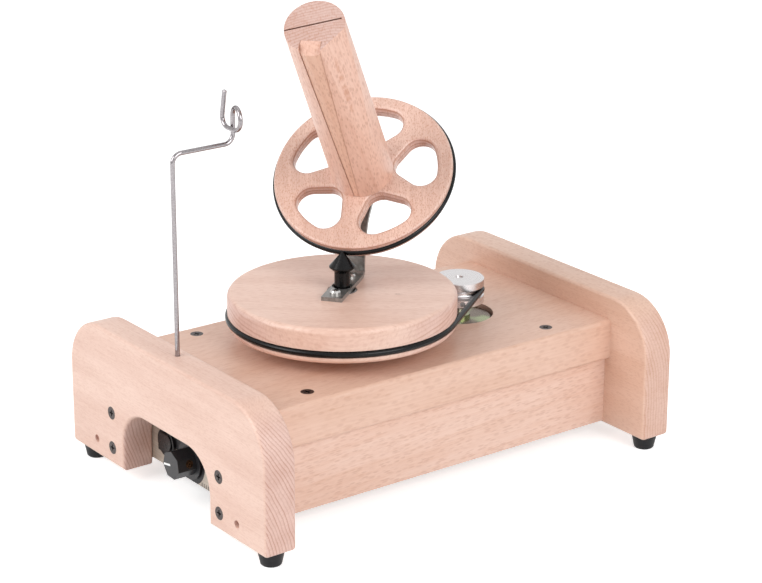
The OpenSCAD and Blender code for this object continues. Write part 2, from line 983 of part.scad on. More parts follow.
module wheel_profile() {
    r = 2;
    w = wheel_dia / 2;
    difference() {
        union() {
            translate([0, -wheel_thick])
                square([w - r, wheel_thick]);
            translate([0, r - wheel_thick])
                square([w, wheel_thick - 2 * r]);
            for (z = [-r, r - wheel_thick])
                translate([w - r, z])
                    circle(r = r, $fn = 32);
        }
        translate([ring_r - ring_thick / 2, -wheel_thick / 2])
            circle(d = ring_thick, $fn = 32);
        translate([-10, -wheel_thick - 1])
            square([10, wheel_thick + 2]);
    }
}

module core_screw_places() {
    for (a = [30:120:270])
        rotate([0, 0, a])
            translate([16, 0, -wheel_thick])
                children();
}

module winding_wheel() {
    color("burlywood")
        in_head()
            difference() {
                rotate_extrude($fn = 96)
                    wheel_profile();
                for (a = [open_turn:72:300])
                    rotate([0, 0, a])
                        wheel_opening();
                translate([0, 0, -wheel_thick - 1])
                    cylinder(r = 6.5, h = wheel_thick + 2, $fn = 40);
                translate([0, 0, -wheel_thick - 1])
                    cylinder(r = bearing_r + eps, h = bearing_width + 1, $fn = 48);
                core_screw_places()
                    rotate([180, 0, 0])
                        small_screw(eps);
            }
}

module small_screw(grow) {
    rotate_extrude($fn = 24)
        polygon([[0, 0], [3.6 + grow, 0], [3.6 + grow, -0.4], [1.8 + grow, -2.2 - grow], [1.8 + grow, -30],
            [0, -31.5]]);
}

module core_screws() {
    color("silver")
        in_head()
            core_screw_places()
                rotate([180, 0, 0])
                    difference() {
                        small_screw(0);
                        cross_recess(4, 1.6);
                    }
}

module friction_ring() {
    color("#202020")
        in_head()
            translate([0, 0, -wheel_thick / 2])
                rotate_extrude($fn = 96)
                    translate([ring_r - ring_thick / 2, 0])
                        circle(d = ring_thick, $fn = 24);
}

// Taper of the wedge: half width at the wheel and at the free end
wedge_low = 1.9;
wedge_high = 7.3;
wedge_deep = 9;
module wedge_prism(grow) {
    rotate([0, 0, 182])
        rotate([90, 0, 90])
            translate([0, 0, core_end_dia / 2 - wedge_deep])
                linear_extrude(20)
                    polygon([[-wedge_low - grow, 0], [wedge_low + grow, 0],
                        [wedge_high + grow, core_length + 1], [-wedge_high - grow, core_length + 1]]);
}

module core_body() {
    difference() {
        rotate_extrude($fn = 72)
            polygon([[0, 0], [core_base_dia / 2, 0], [core_end_dia / 2, core_length], [0, core_length]]);
        rotate([0, 0, 238])
            translate([17.7, -30, core_length])
                rotate([0, -2.4, 0])
                    translate([0, 0, -core_length])
                        cube([20, 60, core_length + 20]);
        rotate([0, 0, -70])
            translate([-25, 1.8 - kerf_width / 2, core_length - kerf_depth])
                cube([44, kerf_width, kerf_depth + 1]);
    }
}

module winding_core() {
    color("burlywood")
        in_head()
            difference() {
                core_body();
                wedge_prism(0.25);
                translate([0, 0, -1])
                    cylinder(r = bearing_r + eps, h = bearing_width + 1, $fn = 48);
                translate([0, 0, 1])
                    cylinder(r = 8.6, h = 19, $fn = 40);
                core_screw_places()
                    rotate([180, 0, 0])
                        small_screw(eps);
            }
}

module core_wedge() {
    color("peru")
        in_head()
            difference() {
                intersection() {
                    rotate_extrude($fn = 72)
                        polygon([[0, 0], [core_base_dia / 2 - 0.5, 0], [core_end_dia / 2 - 0.7, core_length],
                            [0, core_length]]);
                    wedge_prism(0);
                    translate([-40, -40, 0.2])
                        cube([80, 80, core_length]);
                }
                rotate([0, 0, 182])
                    translate([core_end_dia / 2 - 6.4, -20, core_length])
                        rotate([0, 45, 0])
                            cube([20, 40, 20]);
            }
}

module outer_head_bearing() {
    color("silver")
        in_head()
            translate([0, 0, -wheel_thick])
                bearing(running_clear);
}

module inner_head_bearing() {
    color("silver")
        in_head()
            bearing(running_clear);
}

z_pulley = z_belt - pulley_height / 2;
module pulley_profile() {
    r = pulley_dia / 2;
    g = belt_dia / 2 + belt_clear;
    difference() {
        polygon([[shaft_dia / 2 + eps, 0], [r - 0.6, 0], [r, 0.6], [r, pulley_height - 0.6],
            [r - 0.6, pulley_height], [shaft_dia / 2 + eps, pulley_height]]);
        translate([belt_pulley_radius, pulley_height / 2])
            circle(r = g, $fn = 32);
        polygon([[belt_pulley_radius, pulley_height / 2 - g], [r + 1, pulley_height / 2 - g - 1.6],
            [r + 1, pulley_height / 2 + g + 1.6], [belt_pulley_radius, pulley_height / 2 + g]]);
    }
}

module motor_pulley() {
    color("gainsboro")
        translate([pulley_x, pulley_y, z_pulley])
            difference() {
                rotate_extrude($fn = 72)
                    pulley_profile();
                translate([0, 0, 3.4])
                    rotate([0, -90, 60])
                        cylinder(d = 4 + 2 * eps, h = 30, $fn = 24);
            }
}

module motor_shaft() {
    color("silver")
        translate([pulley_x, pulley_y, z_deck - motor_recess - 39])
            cylinder(d = shaft_dia, h = z_pulley + pulley_height - 0.8 - z_deck + motor_recess + 39, $fn = 32);
}

module pulley_set_screw() {
    color("#333333")
        translate([pulley_x, pulley_y, z_pulley + 3.4])
            rotate([0, -90, 60])
                difference() {
                    translate([0, 0, shaft_dia / 2 + 0.05])
                        cylinder(d = 4, h = 9, $fn = 24);
                    translate([0, 0, shaft_dia / 2 + 7])
                        cylinder(d = 2.3, h = 9, $fn = 6);
                }
}

module speed_knob() {
    color("#2a2a2a")
        on_plate(knob_y, knob_up)
            difference() {
                union() {
                    translate([0, 0, 0.6])
                        cylinder(d = knob_skirt_dia, h = 1.2, $fn = 48);
                    translate([0, 0, 0.7])
                        rotate([0, 0, 90 + knob_rest])
                            cylinder(d = knob_dia, h = knob_depth - 0.7, $fn = 7);
                }
                translate([0, 0, -1])
                    cylinder(d = 14.5, h = 4.6, $fn = 40);
                translate([0, 0, 0])
                    cylinder(d = 3 + 2 * eps, h = 9.5, $fn = 24);
                rotate([0, 0, knob_rest]) {
                    translate([-0.8, 1, knob_depth - 0.5])
                        cube([1.6, 8.5, 1]);
                    rotate([90, 0, 0])
                        translate([0, set_screw_up, 0])
                            cylinder(d = set_screw_dia + 2 * eps, h = 20, $fn = 32);
                }
            }
}

module knob_pointer() {
    color("white")
        on_plate(knob_y, knob_up)
            rotate([0, 0, knob_rest])
                translate([-0.78, 1.02, knob_depth - 0.5])
                    cube([1.56, 8.46, 0.55]);
}

module knob_set_screw() {
    color("peru")
        on_plate(knob_y, knob_up)
            rotate([0, 0, knob_rest])
                rotate([90, 0, 0])
                    translate([0, set_screw_up, 0])
                        difference() {
                            translate([0, 0, 1.6])
                                cylinder(d = set_screw_dia, h = knob_flat - 1.7, $fn = 32);
                            translate([0, 0, knob_flat - 1.6])
                                washer(1.7, set_screw_dia / 2 - 0.6, 3);
                            translate([0, 0, knob_flat - 2])
                                cylinder(d = 1.8, h = 3, $fn = 6);
                        }
}

module potentiometer_shaft() {
    color("silver")
        on_plate(knob_y, knob_up)
            translate([0, 0, -plate_thick - 6])
                cylinder(d = 3, h = plate_thick + 15, $fn = 24);
}

bend_r = 7;
eye_r = eye_dia / 2;
module wire(h) {
    cylinder(r = wire_r, h = h, $fn = 20);
    for (z = [0, h])
        translate([0, 0, z])
            sleeve(wire_dia);
}

module wire_bend(r, a) {
    rotate_extrude(angle = a, $fn = 48)
        translate([r, 0])
            circle(r = wire_r, $fn = 20);
}

eye_lean = 13.4;
tail_r = 7;
tail_lean = 11;
module yarn_guide() {
    z0 = z_board_top - guide_hole_depth + 1;
    za = z_board_top + guide_arm_up;
    xe = guide_x + guide_reach;
    zc = za + bend_r + 12;
    xt = xe - eye_dia * sin(eye_lean);
    yt = guide_y - eye_dia * cos(eye_lean) + eye_r;
    color("gainsboro") {
        translate([guide_x, guide_y, z0 + 0.3])
            wire(za - bend_r - z0 - 0.3);
        translate([guide_x + bend_r, guide_y, za - bend_r])
            rotate([90, 0, 0])
                rotate([0, 0, 90])
                    wire_bend(bend_r, 90);
        translate([guide_x + bend_r, guide_y, za])
            rotate([0, 90, 0])
                wire(guide_reach - 2 * bend_r);
        translate([xe - bend_r, guide_y, za + bend_r])
            rotate([90, 0, 0])
                rotate([0, 0, -90])
                    wire_bend(bend_r, 90);
        translate([xe, guide_y, za + bend_r])
            wire(12);
        translate([xe, guide_y, zc])
            rotate([0, 0, -eye_lean])
                translate([0, -eye_r, 0])
                    rotate([90, 0, 90])
                        wire_bend(eye_r, 180);
        translate([xt, yt - eye_r, zc])
            sleeve(wire_dia);
        translate([xt, yt, zc])
            rotate([90, 0, 90])
                rotate([0, 0, 180])
                    wire_bend(eye_r, 90);
        translate([xt, yt, zc - eye_r])
            rotate([-90, 0, 0])
                wire(8);
        translate([xt, yt + 8, zc - eye_r + tail_r])
            rotate([90, 0, 90])
                rotate([0, 0, 270])
                    wire_bend(tail_r, 90 + tail_lean);
        translate([xt, yt + 8 + tail_r * cos(tail_lean), zc - eye_r + tail_r + tail_r * sin(tail_lean)])
            rotate([tail_lean, 0, 0]) {
                wire(17);
                translate([0, 0, 17])
                    cylinder(r1 = wire_r, r2 = wire_r * 0.6, h = 0.9, $fn = 20);
            }
    }
}

left_end_board();
right_end_board();
deck_board();
front_rail();
back_rail();
end_board_screws();
deck_screws();
rubber_feet();
foot_screws();
control_plate();
control_plate_screws();
speed_potentiometer();
potentiometer_nut();
switch_housing();
power_socket();
speed_circuit_board();
board_standoffs();
drive_motor();
motor_flange();
motor_flange_screws();
centre_spindle();
spindle_nuts();
spindle_washers();
spindle_spacer();
friction_cone();
drive_belt();
turntable();
upper_bearing();
lower_bearing();
head_bracket();
bracket_screws();
head_axle();
axle_spacer();
axle_nut();
winding_wheel();
friction_ring();
winding_core();
core_wedge();
outer_head_bearing();
inner_head_bearing();
core_screws();
motor_pulley();
motor_shaft();
pulley_set_screw();
speed_knob();
knob_pointer();
knob_set_screw();
potentiometer_shaft();
switch_rocker();
yarn_guide();
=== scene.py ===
"""Looks of the electric ball winder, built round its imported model. Metres, +Z up, -Y to the front."""

import json
import math

import bmesh
import bpy
from mathutils import Matrix, Vector


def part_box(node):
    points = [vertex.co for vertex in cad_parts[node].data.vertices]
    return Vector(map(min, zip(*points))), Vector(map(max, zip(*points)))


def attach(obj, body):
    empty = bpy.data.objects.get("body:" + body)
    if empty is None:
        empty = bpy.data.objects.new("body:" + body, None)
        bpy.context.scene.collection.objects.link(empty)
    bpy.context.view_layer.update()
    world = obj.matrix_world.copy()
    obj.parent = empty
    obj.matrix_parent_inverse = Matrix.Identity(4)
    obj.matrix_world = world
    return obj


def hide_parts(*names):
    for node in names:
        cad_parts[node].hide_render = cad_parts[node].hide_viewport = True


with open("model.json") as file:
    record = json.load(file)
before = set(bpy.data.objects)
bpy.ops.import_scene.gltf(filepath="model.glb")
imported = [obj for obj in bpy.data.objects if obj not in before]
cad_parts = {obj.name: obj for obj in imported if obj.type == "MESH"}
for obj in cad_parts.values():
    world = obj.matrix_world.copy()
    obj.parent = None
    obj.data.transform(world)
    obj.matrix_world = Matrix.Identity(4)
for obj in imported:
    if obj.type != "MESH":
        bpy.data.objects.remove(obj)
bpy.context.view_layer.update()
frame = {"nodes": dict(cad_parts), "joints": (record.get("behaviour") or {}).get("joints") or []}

MM = 0.001
UP = Vector((0, 0, 1))

JOINTS = {joint["name"]: joint for joint in frame["joints"]}


def joint_place(name):
    return Vector(JOINTS[name]["pos_m"])


# Places and sizes that the finishes and the rounded pieces need, in metres, from the solids
PULLEY_AXIS = joint_place("motor_spin")
HEAD_CENTRE = joint_place("head_spin")
GUIDE_AXIS = joint_place("yarn_guide_swivel")
KNOB_CENTRE = joint_place("speed_knob_turn")
BOARD_CORNER, BOARD_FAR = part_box("left_end_board")
BOARD_LOW = BOARD_CORNER.z
BOARD_HIGH = BOARD_FAR.z - BOARD_CORNER.z
BOARD_THICK = BOARD_FAR.x - BOARD_CORNER.x
BOARD_HALF = BOARD_FAR.y
STAND_HALF = -BOARD_CORNER.x


def head_frame():
    """The head's own frame: x uphill in the wheel's face, y across, z along the axle to the core."""
    axle = Vector(JOINTS["head_spin"]["axis"]).normalized()
    uphill = (UP - axle * axle.z).normalized()
    turn = Matrix((uphill, axle.cross(uphill), axle)).transposed().to_4x4()
    return Matrix.Translation(HEAD_CENTRE) @ turn


HEAD = head_frame()


# Short ways to add shader nodes

def feed(tree, socket, value):
    """Sets a socket to a plain value, or wires another socket to it."""
    if isinstance(value, bpy.types.NodeSocket):
        tree.links.new(value, socket)
    else:
        socket.default_value = value


def put(tree, kind, inputs=None, **settings):
    """Adds a shader node and fills its inputs, given by name or by number."""
    made = tree.nodes.new("ShaderNode" + kind)
    for key, value in settings.items():
        setattr(made, key, value)
    for key, value in (inputs or {}).items():
        feed(tree, made.inputs[key], value)
    return made


def maths(tree, operation, *values):
    return put(tree, "Math", dict(enumerate(values)), operation=operation).outputs[0]


def smooth_step(tree, value, low, high, start=0.0, end=1.0):
    """Start below low, end above high, and a soft change between them."""
    inputs = {"Value": value, "From Min": low, "From Max": high, "To Min": start, "To Max": end}
    return put(tree, "MapRange", inputs, interpolation_type="SMOOTHSTEP").outputs["Result"]


def stretch(tree, vector, sizes):
    """The place divided by a cell size along each axis, in millimetres."""
    scale = [1 / (size * MM) for size in sizes]
    return put(tree, "VectorMath", {0: vector, 1: scale}, operation="MULTIPLY").outputs[0]


def noise(tree, vector, detail=2.0, roughness=0.5, scale=1.0):
    inputs = {"Vector": vector, "Scale": scale, "Detail": detail, "Roughness": roughness}
    return put(tree, "TexNoise", inputs).outputs[0]


def blend_colour(tree, share, first, second, blend_type="MIX"):
    made = put(tree, "Mix", data_type="RGBA", blend_type=blend_type)
    feed(tree, made.inputs[0], share)
    feed(tree, made.inputs[6], first)
    feed(tree, made.inputs[7], second)
    return made.outputs[2]


def new_group(name, inputs, outputs):
    """An empty node group with these sockets, and its two end nodes."""
    tree = bpy.data.node_groups.new(name, "ShaderNodeTree")
    for label, (kind, value) in inputs.items():
        socket = tree.interface.new_socket(label, in_out="INPUT", socket_type="NodeSocket" + kind)
        socket.default_value = value
    for label, kind in outputs.items():
        tree.interface.new_socket(label, in_out="OUTPUT", socket_type="NodeSocket" + kind)
    return tree, tree.nodes.new("NodeGroupInput").outputs, tree.nodes.new("NodeGroupOutput").inputs


# Node groups that the materials share

def beech_figure():
    """Growth rings round the heart of the log, and the short rays that run out from it. Turn and
    Shift bring a place into the log's own frame, with the heart along z."""
    tree, given, result = new_group(
        "beech_figure",
        {
            "Turn": ("Vector", (0, 0, 0)),
            "Shift": ("Vector", (0, 0, 0)),
            "Ring Width": ("Float", 2.6 * MM),
            "End Rings": ("Float", 0.7),
            "Face Rings": ("Float", 0.15),
            "Flecks": ("Float", 0.4),
            "Fleck Length": ("Float", 3 * MM),
            "Fleck Width": ("Float", 1 * MM),
            "Waver": ("Float", 7 * MM),
            "Pale Wood": ("Color", (0.8, 0.58, 0.45, 1)),
            "Late Wood": ("Color", (0.6, 0.38, 0.27, 1)),
            "Ray Wood": ("Color", (0.5, 0.3, 0.2, 1)),
            "End Tint": ("Color", (0.91, 0.89, 0.93, 1)),
        },
        {"Colour": "Color", "Roughness": "Float", "Height": "Float"},
    )
    where = put(tree, "TexCoord").outputs
    log = put(tree, "Mapping", {0: where["Object"], 1: given["Shift"], 2: given["Turn"]}).outputs[0]
    turned_normal = put(tree, "Mapping", {0: where["Normal"], 2: given["Turn"]}, vector_type="VECTOR")
    along = put(tree, "SeparateXYZ", {0: turned_normal.outputs[0]}).outputs[2]
    end_share = smooth_step(tree, maths(tree, "ABSOLUTE", along), 0.4, 0.85)
    flat = put(tree, "VectorMath", {0: log, 1: (1, 1, 0)}, operation="MULTIPLY").outputs[0]
    radius = put(tree, "VectorMath", {0: flat}, operation="LENGTH").outputs["Value"]
    parts = put(tree, "SeparateXYZ", {0: log}).outputs
    around = maths(tree, "MULTIPLY", maths(tree, "ARCTAN2", parts[1], parts[0]), radius)

    waver = noise(tree, stretch(tree, log, (34, 34, 260)), detail=3.0)
    wavy_radius = maths(tree, "ADD", radius, maths(tree, "MULTIPLY", waver, given["Waver"]))
    rings = maths(tree, "DIVIDE", wavy_radius, given["Ring Width"])
    part_of_ring = maths(tree, "FRACT", rings)
    late = smooth_step(tree, part_of_ring, 0.45, 0.93)
    ring_end = smooth_step(tree, part_of_ring, 0.95, 1.0, 1.0, 0.0)
    ring_number = put(tree, "CombineXYZ", {0: maths(tree, "FLOOR", rings)}).outputs[0]
    ring_strength = smooth_step(tree, noise(tree, ring_number, scale=0.37), 0.3, 0.7, 0.35, 1.0)
    ring_tone = maths(tree, "MULTIPLY", maths(tree, "MULTIPLY", late, ring_end), ring_strength)
    ring_depths = {0: end_share, 2: given["Face Rings"], 3: given["End Rings"]}
    ring_depth = put(tree, "Mix", ring_depths).outputs[0]

    polar = put(tree, "CombineXYZ", {0: around, 1: radius, 2: parts[2]}).outputs[0]
    fleck_place = put(tree, "CombineXYZ", {
        0: maths(tree, "DIVIDE", around, given["Fleck Width"]),
        1: maths(tree, "DIVIDE", radius, 3 * MM),
        2: maths(tree, "DIVIDE", parts[2], given["Fleck Length"])}).outputs[0]
    cells = put(tree, "TexVoronoi", {"Vector": fleck_place, "Scale": 1.0})
    pick = put(tree, "SeparateColor", {0: cells.outputs["Color"]}).outputs[0]
    fleck = smooth_step(tree, cells.outputs["Distance"], 0.26, 0.68, 1.0, 0.0)
    flecks = maths(tree, "MULTIPLY", fleck, smooth_step(tree, pick, 0.1, 0.9))
    fibres = noise(tree, stretch(tree, polar, (0.5, 1.6, 15.0)), detail=3.0, roughness=0.65)
    cloud = noise(tree, stretch(tree, log, (20, 20, 130)), detail=2.0)

    shade = maths(tree, "MULTIPLY", ring_tone, ring_depth)
    shade = maths(tree, "ADD", shade, smooth_step(tree, fibres, 0.35, 0.75, 0.0, 0.3))
    shade = maths(tree, "ADD", shade, smooth_step(tree, cloud, 0.35, 0.7, -0.05, 0.22))
    shade = maths(tree, "MAXIMUM", shade, 0.0)
    wood = blend_colour(tree, shade, given["Pale Wood"], given["Late Wood"])
    end_wood = blend_colour(tree, 1.0, wood, given["End Tint"], "MULTIPLY")
    wood = blend_colour(tree, end_share, wood, end_wood)
    fleck_share = maths(tree, "MULTIPLY", flecks, given["Flecks"])
    feed(tree, result["Colour"], blend_colour(tree, fleck_share, wood, given["Ray Wood"]))
    rough = maths(tree, "ADD", maths(tree, "MULTIPLY", end_share, 0.08),
                  maths(tree, "MULTIPLY", fibres, 0.14))
    rough = maths(tree, "ADD", rough, smooth_step(tree, flecks, 0.0, 1.0, 0.36, 0.44))
    feed(tree, result["Roughness"], rough)
    height = maths(tree, "ADD", maths(tree, "MULTIPLY", flecks, -0.5),
                   maths(tree, "MULTIPLY", fibres, 0.5))
    height = maths(tree, "SUBTRACT", height, maths(tree, "MULTIPLY", ring_tone, end_share))
    feed(tree, result["Height"], height)
    return tree


def wedge_seams():
    """The two glue lines beside the tapered strip in the core. Narrow is half its width at the wheel,
    Widening how much that grows with the height, and Floor how far its groove lies off the axle."""
    tree, given, result = new_group(
        "wedge_seams",
        {
            "Turn": ("Vector", (0, 0, 0)),
            "Shift": ("Vector", (0, 0, 0)),
            "Narrow": ("Float", 1.9 * MM),
            "Widening": ("Float", 0.0304),
            "Floor": ("Float", 12.3 * MM),
        },
        {"Line": "Float"},
    )
    where = put(tree, "TexCoord").outputs["Object"]
    place = put(tree, "Mapping", {0: where, 1: given["Shift"], 2: given["Turn"]}).outputs[0]
    parts = put(tree, "SeparateXYZ", {0: place}).outputs
    half = maths(tree, "ADD", given["Narrow"], maths(tree, "MULTIPLY", parts[2], given["Widening"]))
    off = maths(tree, "ABSOLUTE", maths(tree, "SUBTRACT", maths(tree, "ABSOLUTE", parts[1]), half))
    line = smooth_step(tree, off, 0.1 * MM, 0.7 * MM, 1.0, 0.0)
    inside = maths(tree, "GREATER_THAN", parts[0], given["Floor"])
    feed(tree, result["Line"], maths(tree, "MULTIPLY", line, inside))
    return tree


def fine_mottle():
    """Uneven tone and tiny pits, for rubber, plastic and plated steel."""
    tree, given, result = new_group(
        "fine_mottle",
        {
            "Cell": ("Float", 400.0),
            "Dark": ("Color", (0.02, 0.02, 0.02, 1)),
            "Light": ("Color", (0.05, 0.05, 0.05, 1)),
            "Low Roughness": ("Float", 0.35),
            "High Roughness": ("Float", 0.5),
        },
        {"Colour": "Color", "Roughness": "Float", "Height": "Float"},
    )
    where = put(tree, "TexCoord").outputs["Object"]
    coarse = noise(tree, where, detail=3.0, scale=given["Cell"])
    fine = noise(tree, where, detail=2.0, scale=maths(tree, "MULTIPLY", given["Cell"], 6.0))
    share = smooth_step(tree, maths(tree, "ADD", maths(tree, "MULTIPLY", coarse, 0.7),
                                    maths(tree, "MULTIPLY", fine, 0.3)), 0.35, 0.68)
    feed(tree, result["Colour"], blend_colour(tree, share, given["Dark"], given["Light"]))
    spread = maths(tree, "SUBTRACT", given["High Roughness"], given["Low Roughness"])
    rough = maths(tree, "ADD", given["Low Roughness"], maths(tree, "MULTIPLY", share, spread))
    feed(tree, result["Roughness"], rough)
    feed(tree, result["Height"], fine)
    return tree


def turned_lines():
    """Fine circles that a lathe tool leaves round an upright axis."""
    tree, given, result = new_group(
        "turned_lines",
        {"Centre": ("Vector", (0, 0, 0)), "Pitch": ("Float", 0.5 * MM)},
        {"Tone": "Float", "Height": "Float"},
    )
    where = put(tree, "TexCoord").outputs["Object"]
    off = put(tree, "VectorMath", {0: where, 1: given["Centre"]}, operation="SUBTRACT").outputs[0]
    flat = put(tree, "VectorMath", {0: off, 1: (1, 1, 0)}, operation="MULTIPLY").outputs[0]
    radius = put(tree, "VectorMath", {0: flat}, operation="LENGTH").outputs["Value"]
    height = put(tree, "SeparateXYZ", {0: off}).outputs[2]
    steps = put(tree, "CombineXYZ", {0: maths(tree, "DIVIDE", radius, given["Pitch"]),
                                     1: maths(tree, "DIVIDE", height, given["Pitch"])}).outputs[0]
    lines = noise(tree, steps, detail=3.0, roughness=0.6, scale=0.9)
    broad = noise(tree, steps, detail=1.0, scale=0.09)
    feed(tree, result["Tone"], maths(tree, "ADD", maths(tree, "MULTIPLY", lines, 0.5),
                                     maths(tree, "MULTIPLY", broad, 0.5)))
    feed(tree, result["Height"], lines)
    return tree


BEECH_FIGURE = beech_figure()
WEDGE_SEAMS = wedge_seams()
FINE_MOTTLE = fine_mottle()
TURNED_LINES = turned_lines()


# Materials

def rgb(red, green, blue):
    """Linear colour from the usual 0 to 255 screen values."""
    def linear(value):
        share = value / 255
        return share / 12.92 if share <= 0.04045 else ((share + 0.055) / 1.055) ** 2.4
    return (linear(red), linear(green), linear(blue), 1)


def new_finish(name, **sockets):
    """A material with one principled shader; the values given go on its own sockets."""
    finish = bpy.data.materials.new(name)
    finish.use_nodes = True
    tree = finish.node_tree
    shader = tree.nodes["Principled BSDF"]
    for label, value in sockets.items():
        shader.inputs[label.replace("_", " ")].default_value = value
    return finish, tree, shader.inputs


def use_group(tree, group, **values):
    """Adds a node group with these values on its inputs, and gives its outputs."""
    made = tree.nodes.new("ShaderNodeGroup")
    made.node_tree = group
    for label, value in values.items():
        made.inputs[label.replace("_", " ")].default_value = value
    return made.outputs


def add_bump(tree, shader, height, distance, strength=1.0):
    """Small relief of the surface, its depth in metres."""
    bump = put(tree, "Bump", {"Height": height, "Distance": distance, "Strength": strength})
    tree.links.new(bump.outputs["Normal"], shader["Normal"])


# Colours of beech, as screen values: early wood, late wood and rays
PALE_BEECH = (232, 199, 183)
LATE_BEECH = (211, 168, 145)
RAY_BEECH = (184, 130, 105)


def beech(name, grain, outward, heart, ring_width, end_rings, face_rings, flecks, fleck_length=3.0,
          fleck_width=1.0, waver=7.0, pale=PALE_BEECH, late=LATE_BEECH, ray=RAY_BEECH,
          end_tint=(0.91, 0.89, 0.93, 1), coat=0.35):
    """Satin beech. Grain is the way the fibres run, outward points from the log's heart to the piece,
    and heart is a point on the middle line of the log. Places and widths are in millimetres, and
    rings and flecks are strengths from 0 to 1."""
    along = Vector(grain).normalized()
    out = Vector(outward)
    out = (out - along * out.dot(along)).normalized()
    turn = Matrix((out, along.cross(out), along))
    shift = -(turn @ (Vector(heart) * MM))
    finish, tree, shader = new_finish(name, Coat_Weight=coat, Coat_Roughness=0.34)
    figure = use_group(
        tree, BEECH_FIGURE, Turn=turn.to_euler("XYZ"), Shift=shift, Ring_Width=ring_width * MM,
        End_Rings=end_rings, Face_Rings=face_rings, Flecks=flecks, Fleck_Length=fleck_length * MM,
        Fleck_Width=fleck_width * MM, Waver=waver * MM, Pale_Wood=rgb(*pale), Late_Wood=rgb(*late),
        Ray_Wood=rgb(*ray), End_Tint=end_tint)
    tree.links.new(figure["Colour"], shader["Base Color"])
    tree.links.new(figure["Roughness"], shader["Roughness"])
    add_bump(tree, shader, figure["Height"], 0.04 * MM, 0.5)
    return finish


def mottled(name, dark, light, roughness, cell, bump, metallic=0.0, **sockets):
    """Rubber, plastic, paint or plated steel with an uneven tone. Roughness is its lowest and highest
    value, cell the number of patches in a metre, and bump the relief in millimetres."""
    finish, tree, shader = new_finish(name, Metallic=metallic, **sockets)
    look = use_group(tree, FINE_MOTTLE, Cell=cell, Dark=rgb(*dark), Light=rgb(*light),
                     Low_Roughness=roughness[0], High_Roughness=roughness[1])
    tree.links.new(look["Colour"], shader["Base Color"])
    tree.links.new(look["Roughness"], shader["Roughness"])
    add_bump(tree, shader, look["Height"], bump * MM)
    return finish


def turned_metal(name, centre, dark, light, roughness):
    """Metal with the fine circles of the lathe round its centre."""
    finish, tree, shader = new_finish(name, Metallic=1.0)
    lines = use_group(tree, TURNED_LINES, Centre=centre, Pitch=0.45 * MM)
    share = smooth_step(tree, lines["Tone"], 0.35, 0.65)
    rough = smooth_step(tree, lines["Tone"], 0.3, 0.7, *roughness)
    tree.links.new(blend_colour(tree, share, rgb(*dark), rgb(*light)), shader["Base Color"])
    tree.links.new(rough, shader["Roughness"])
    add_bump(tree, shader, lines["Height"], 0.0004 * MM)
    return finish


def passivated(name):
    """Zinc plate with the green, brown and pink sheen that its passivation leaves."""
    finish, tree, shader = new_finish(name, Metallic=1.0)
    where = put(tree, "TexCoord").outputs["Object"]
    broad = noise(tree, where, detail=1.0, scale=45.0)
    fine = noise(tree, where, detail=3.0, scale=900.0)
    green = rgb(156, 164, 126)
    brown = rgb(116, 103, 90)
    pink = rgb(124, 106, 102)
    grey = rgb(88, 81, 75)
    sheen = blend_colour(tree, smooth_step(tree, broad, 0.38, 0.5), green, brown)
    sheen = blend_colour(tree, smooth_step(tree, broad, 0.5, 0.64), sheen, pink)
    sheen = blend_colour(tree, smooth_step(tree, fine, 0.3, 0.7, 0.0, 0.12), sheen, grey)
    tree.links.new(sheen, shader["Base Color"])
    tree.links.new(smooth_step(tree, fine, 0.3, 0.7, 0.2, 0.32), shader["Roughness"])
    add_bump(tree, shader, fine, 0.004 * MM)
    return finish


def marked_plate_with_painted_shade(name):
    """Brushed plate of the controls: a black dial round the knob, a black area beside it that is painted
    shade under the notch's roof, and a row of plain tick marks. The plate runs along y, with z up."""
    dial_radius = 18 * MM
    painted_shade_back = 43 * MM
    painted_shade_low = 33 * MM
    tick_pitch = 2.7 * MM
    tick_share = 0.34
    tick_low = 14.5 * MM
    tick_high = 18.5 * MM
    tick_from = -26 * MM
    tick_to = -9 * MM
    finish, tree, shader = new_finish(name, Metallic=0.35)
    where = put(tree, "TexCoord").outputs["Object"]
    parts = put(tree, "SeparateXYZ", {0: where}).outputs
    brushed = noise(tree, stretch(tree, where, (40, 40, 0.4)), detail=3.0)
    across = maths(tree, "FRACT", maths(tree, "DIVIDE", parts[1], tick_pitch))
    tick = maths(tree, "LESS_THAN", across, tick_share)
    for value, low, high in ((parts[1], tick_from, tick_to), (parts[2], tick_low, tick_high)):
        tick = maths(tree, "MULTIPLY", tick, maths(tree, "GREATER_THAN", value, low))
        tick = maths(tree, "MULTIPLY", tick, maths(tree, "LESS_THAN", value, high))
    dark_metal = rgb(172, 160, 147)
    light_metal = rgb(194, 183, 170)
    bare = blend_colour(tree, smooth_step(tree, brushed, 0.3, 0.7), dark_metal, light_metal)
    dial = put(tree, "VectorMath", {0: where, 1: KNOB_CENTRE}, operation="DISTANCE").outputs["Value"]
    mark = maths(tree, "MAXIMUM", tick, maths(tree, "LESS_THAN", dial, dial_radius))
    # Painted shade: the plate is painted black above 33 mm and in front of 43 mm, where the notch's roof
    # shades it
    painted_shade = maths(tree, "MULTIPLY", maths(tree, "LESS_THAN", parts[1], painted_shade_back),
                  maths(tree, "GREATER_THAN", parts[2], painted_shade_low))
    # The black of the dial and the ticks also carries this painted shade
    mark = maths(tree, "MAXIMUM", mark, painted_shade)
    tree.links.new(blend_colour(tree, mark, bare, rgb(24, 22, 24)), shader["Base Color"])
    tree.links.new(smooth_step(tree, brushed, 0.3, 0.7, 0.34, 0.5), shader["Roughness"])
    add_bump(tree, shader, brushed, 0.01 * MM)
    return finish


# The core's strip and its saw cut, in the head's own frame: angles round the axle in degrees, then
# how far the cut lies off the axle, how high it begins and how far it runs to its closed side
STRIP_ANGLE = 182
SAW_ANGLE = 20
SAW_OFFSET = 1.8 * MM
SAW_BOTTOM = 153.5 * MM
SAW_END = 19 * MM

# The way that the turntable's fibres run
TABLE_GRAIN = Vector((0.8, -0.6, 0))


def head_way(x, y, z):
    """A direction of the winding head's own frame, in the shared frame."""
    return HEAD.to_3x3() @ Vector((x, y, z))


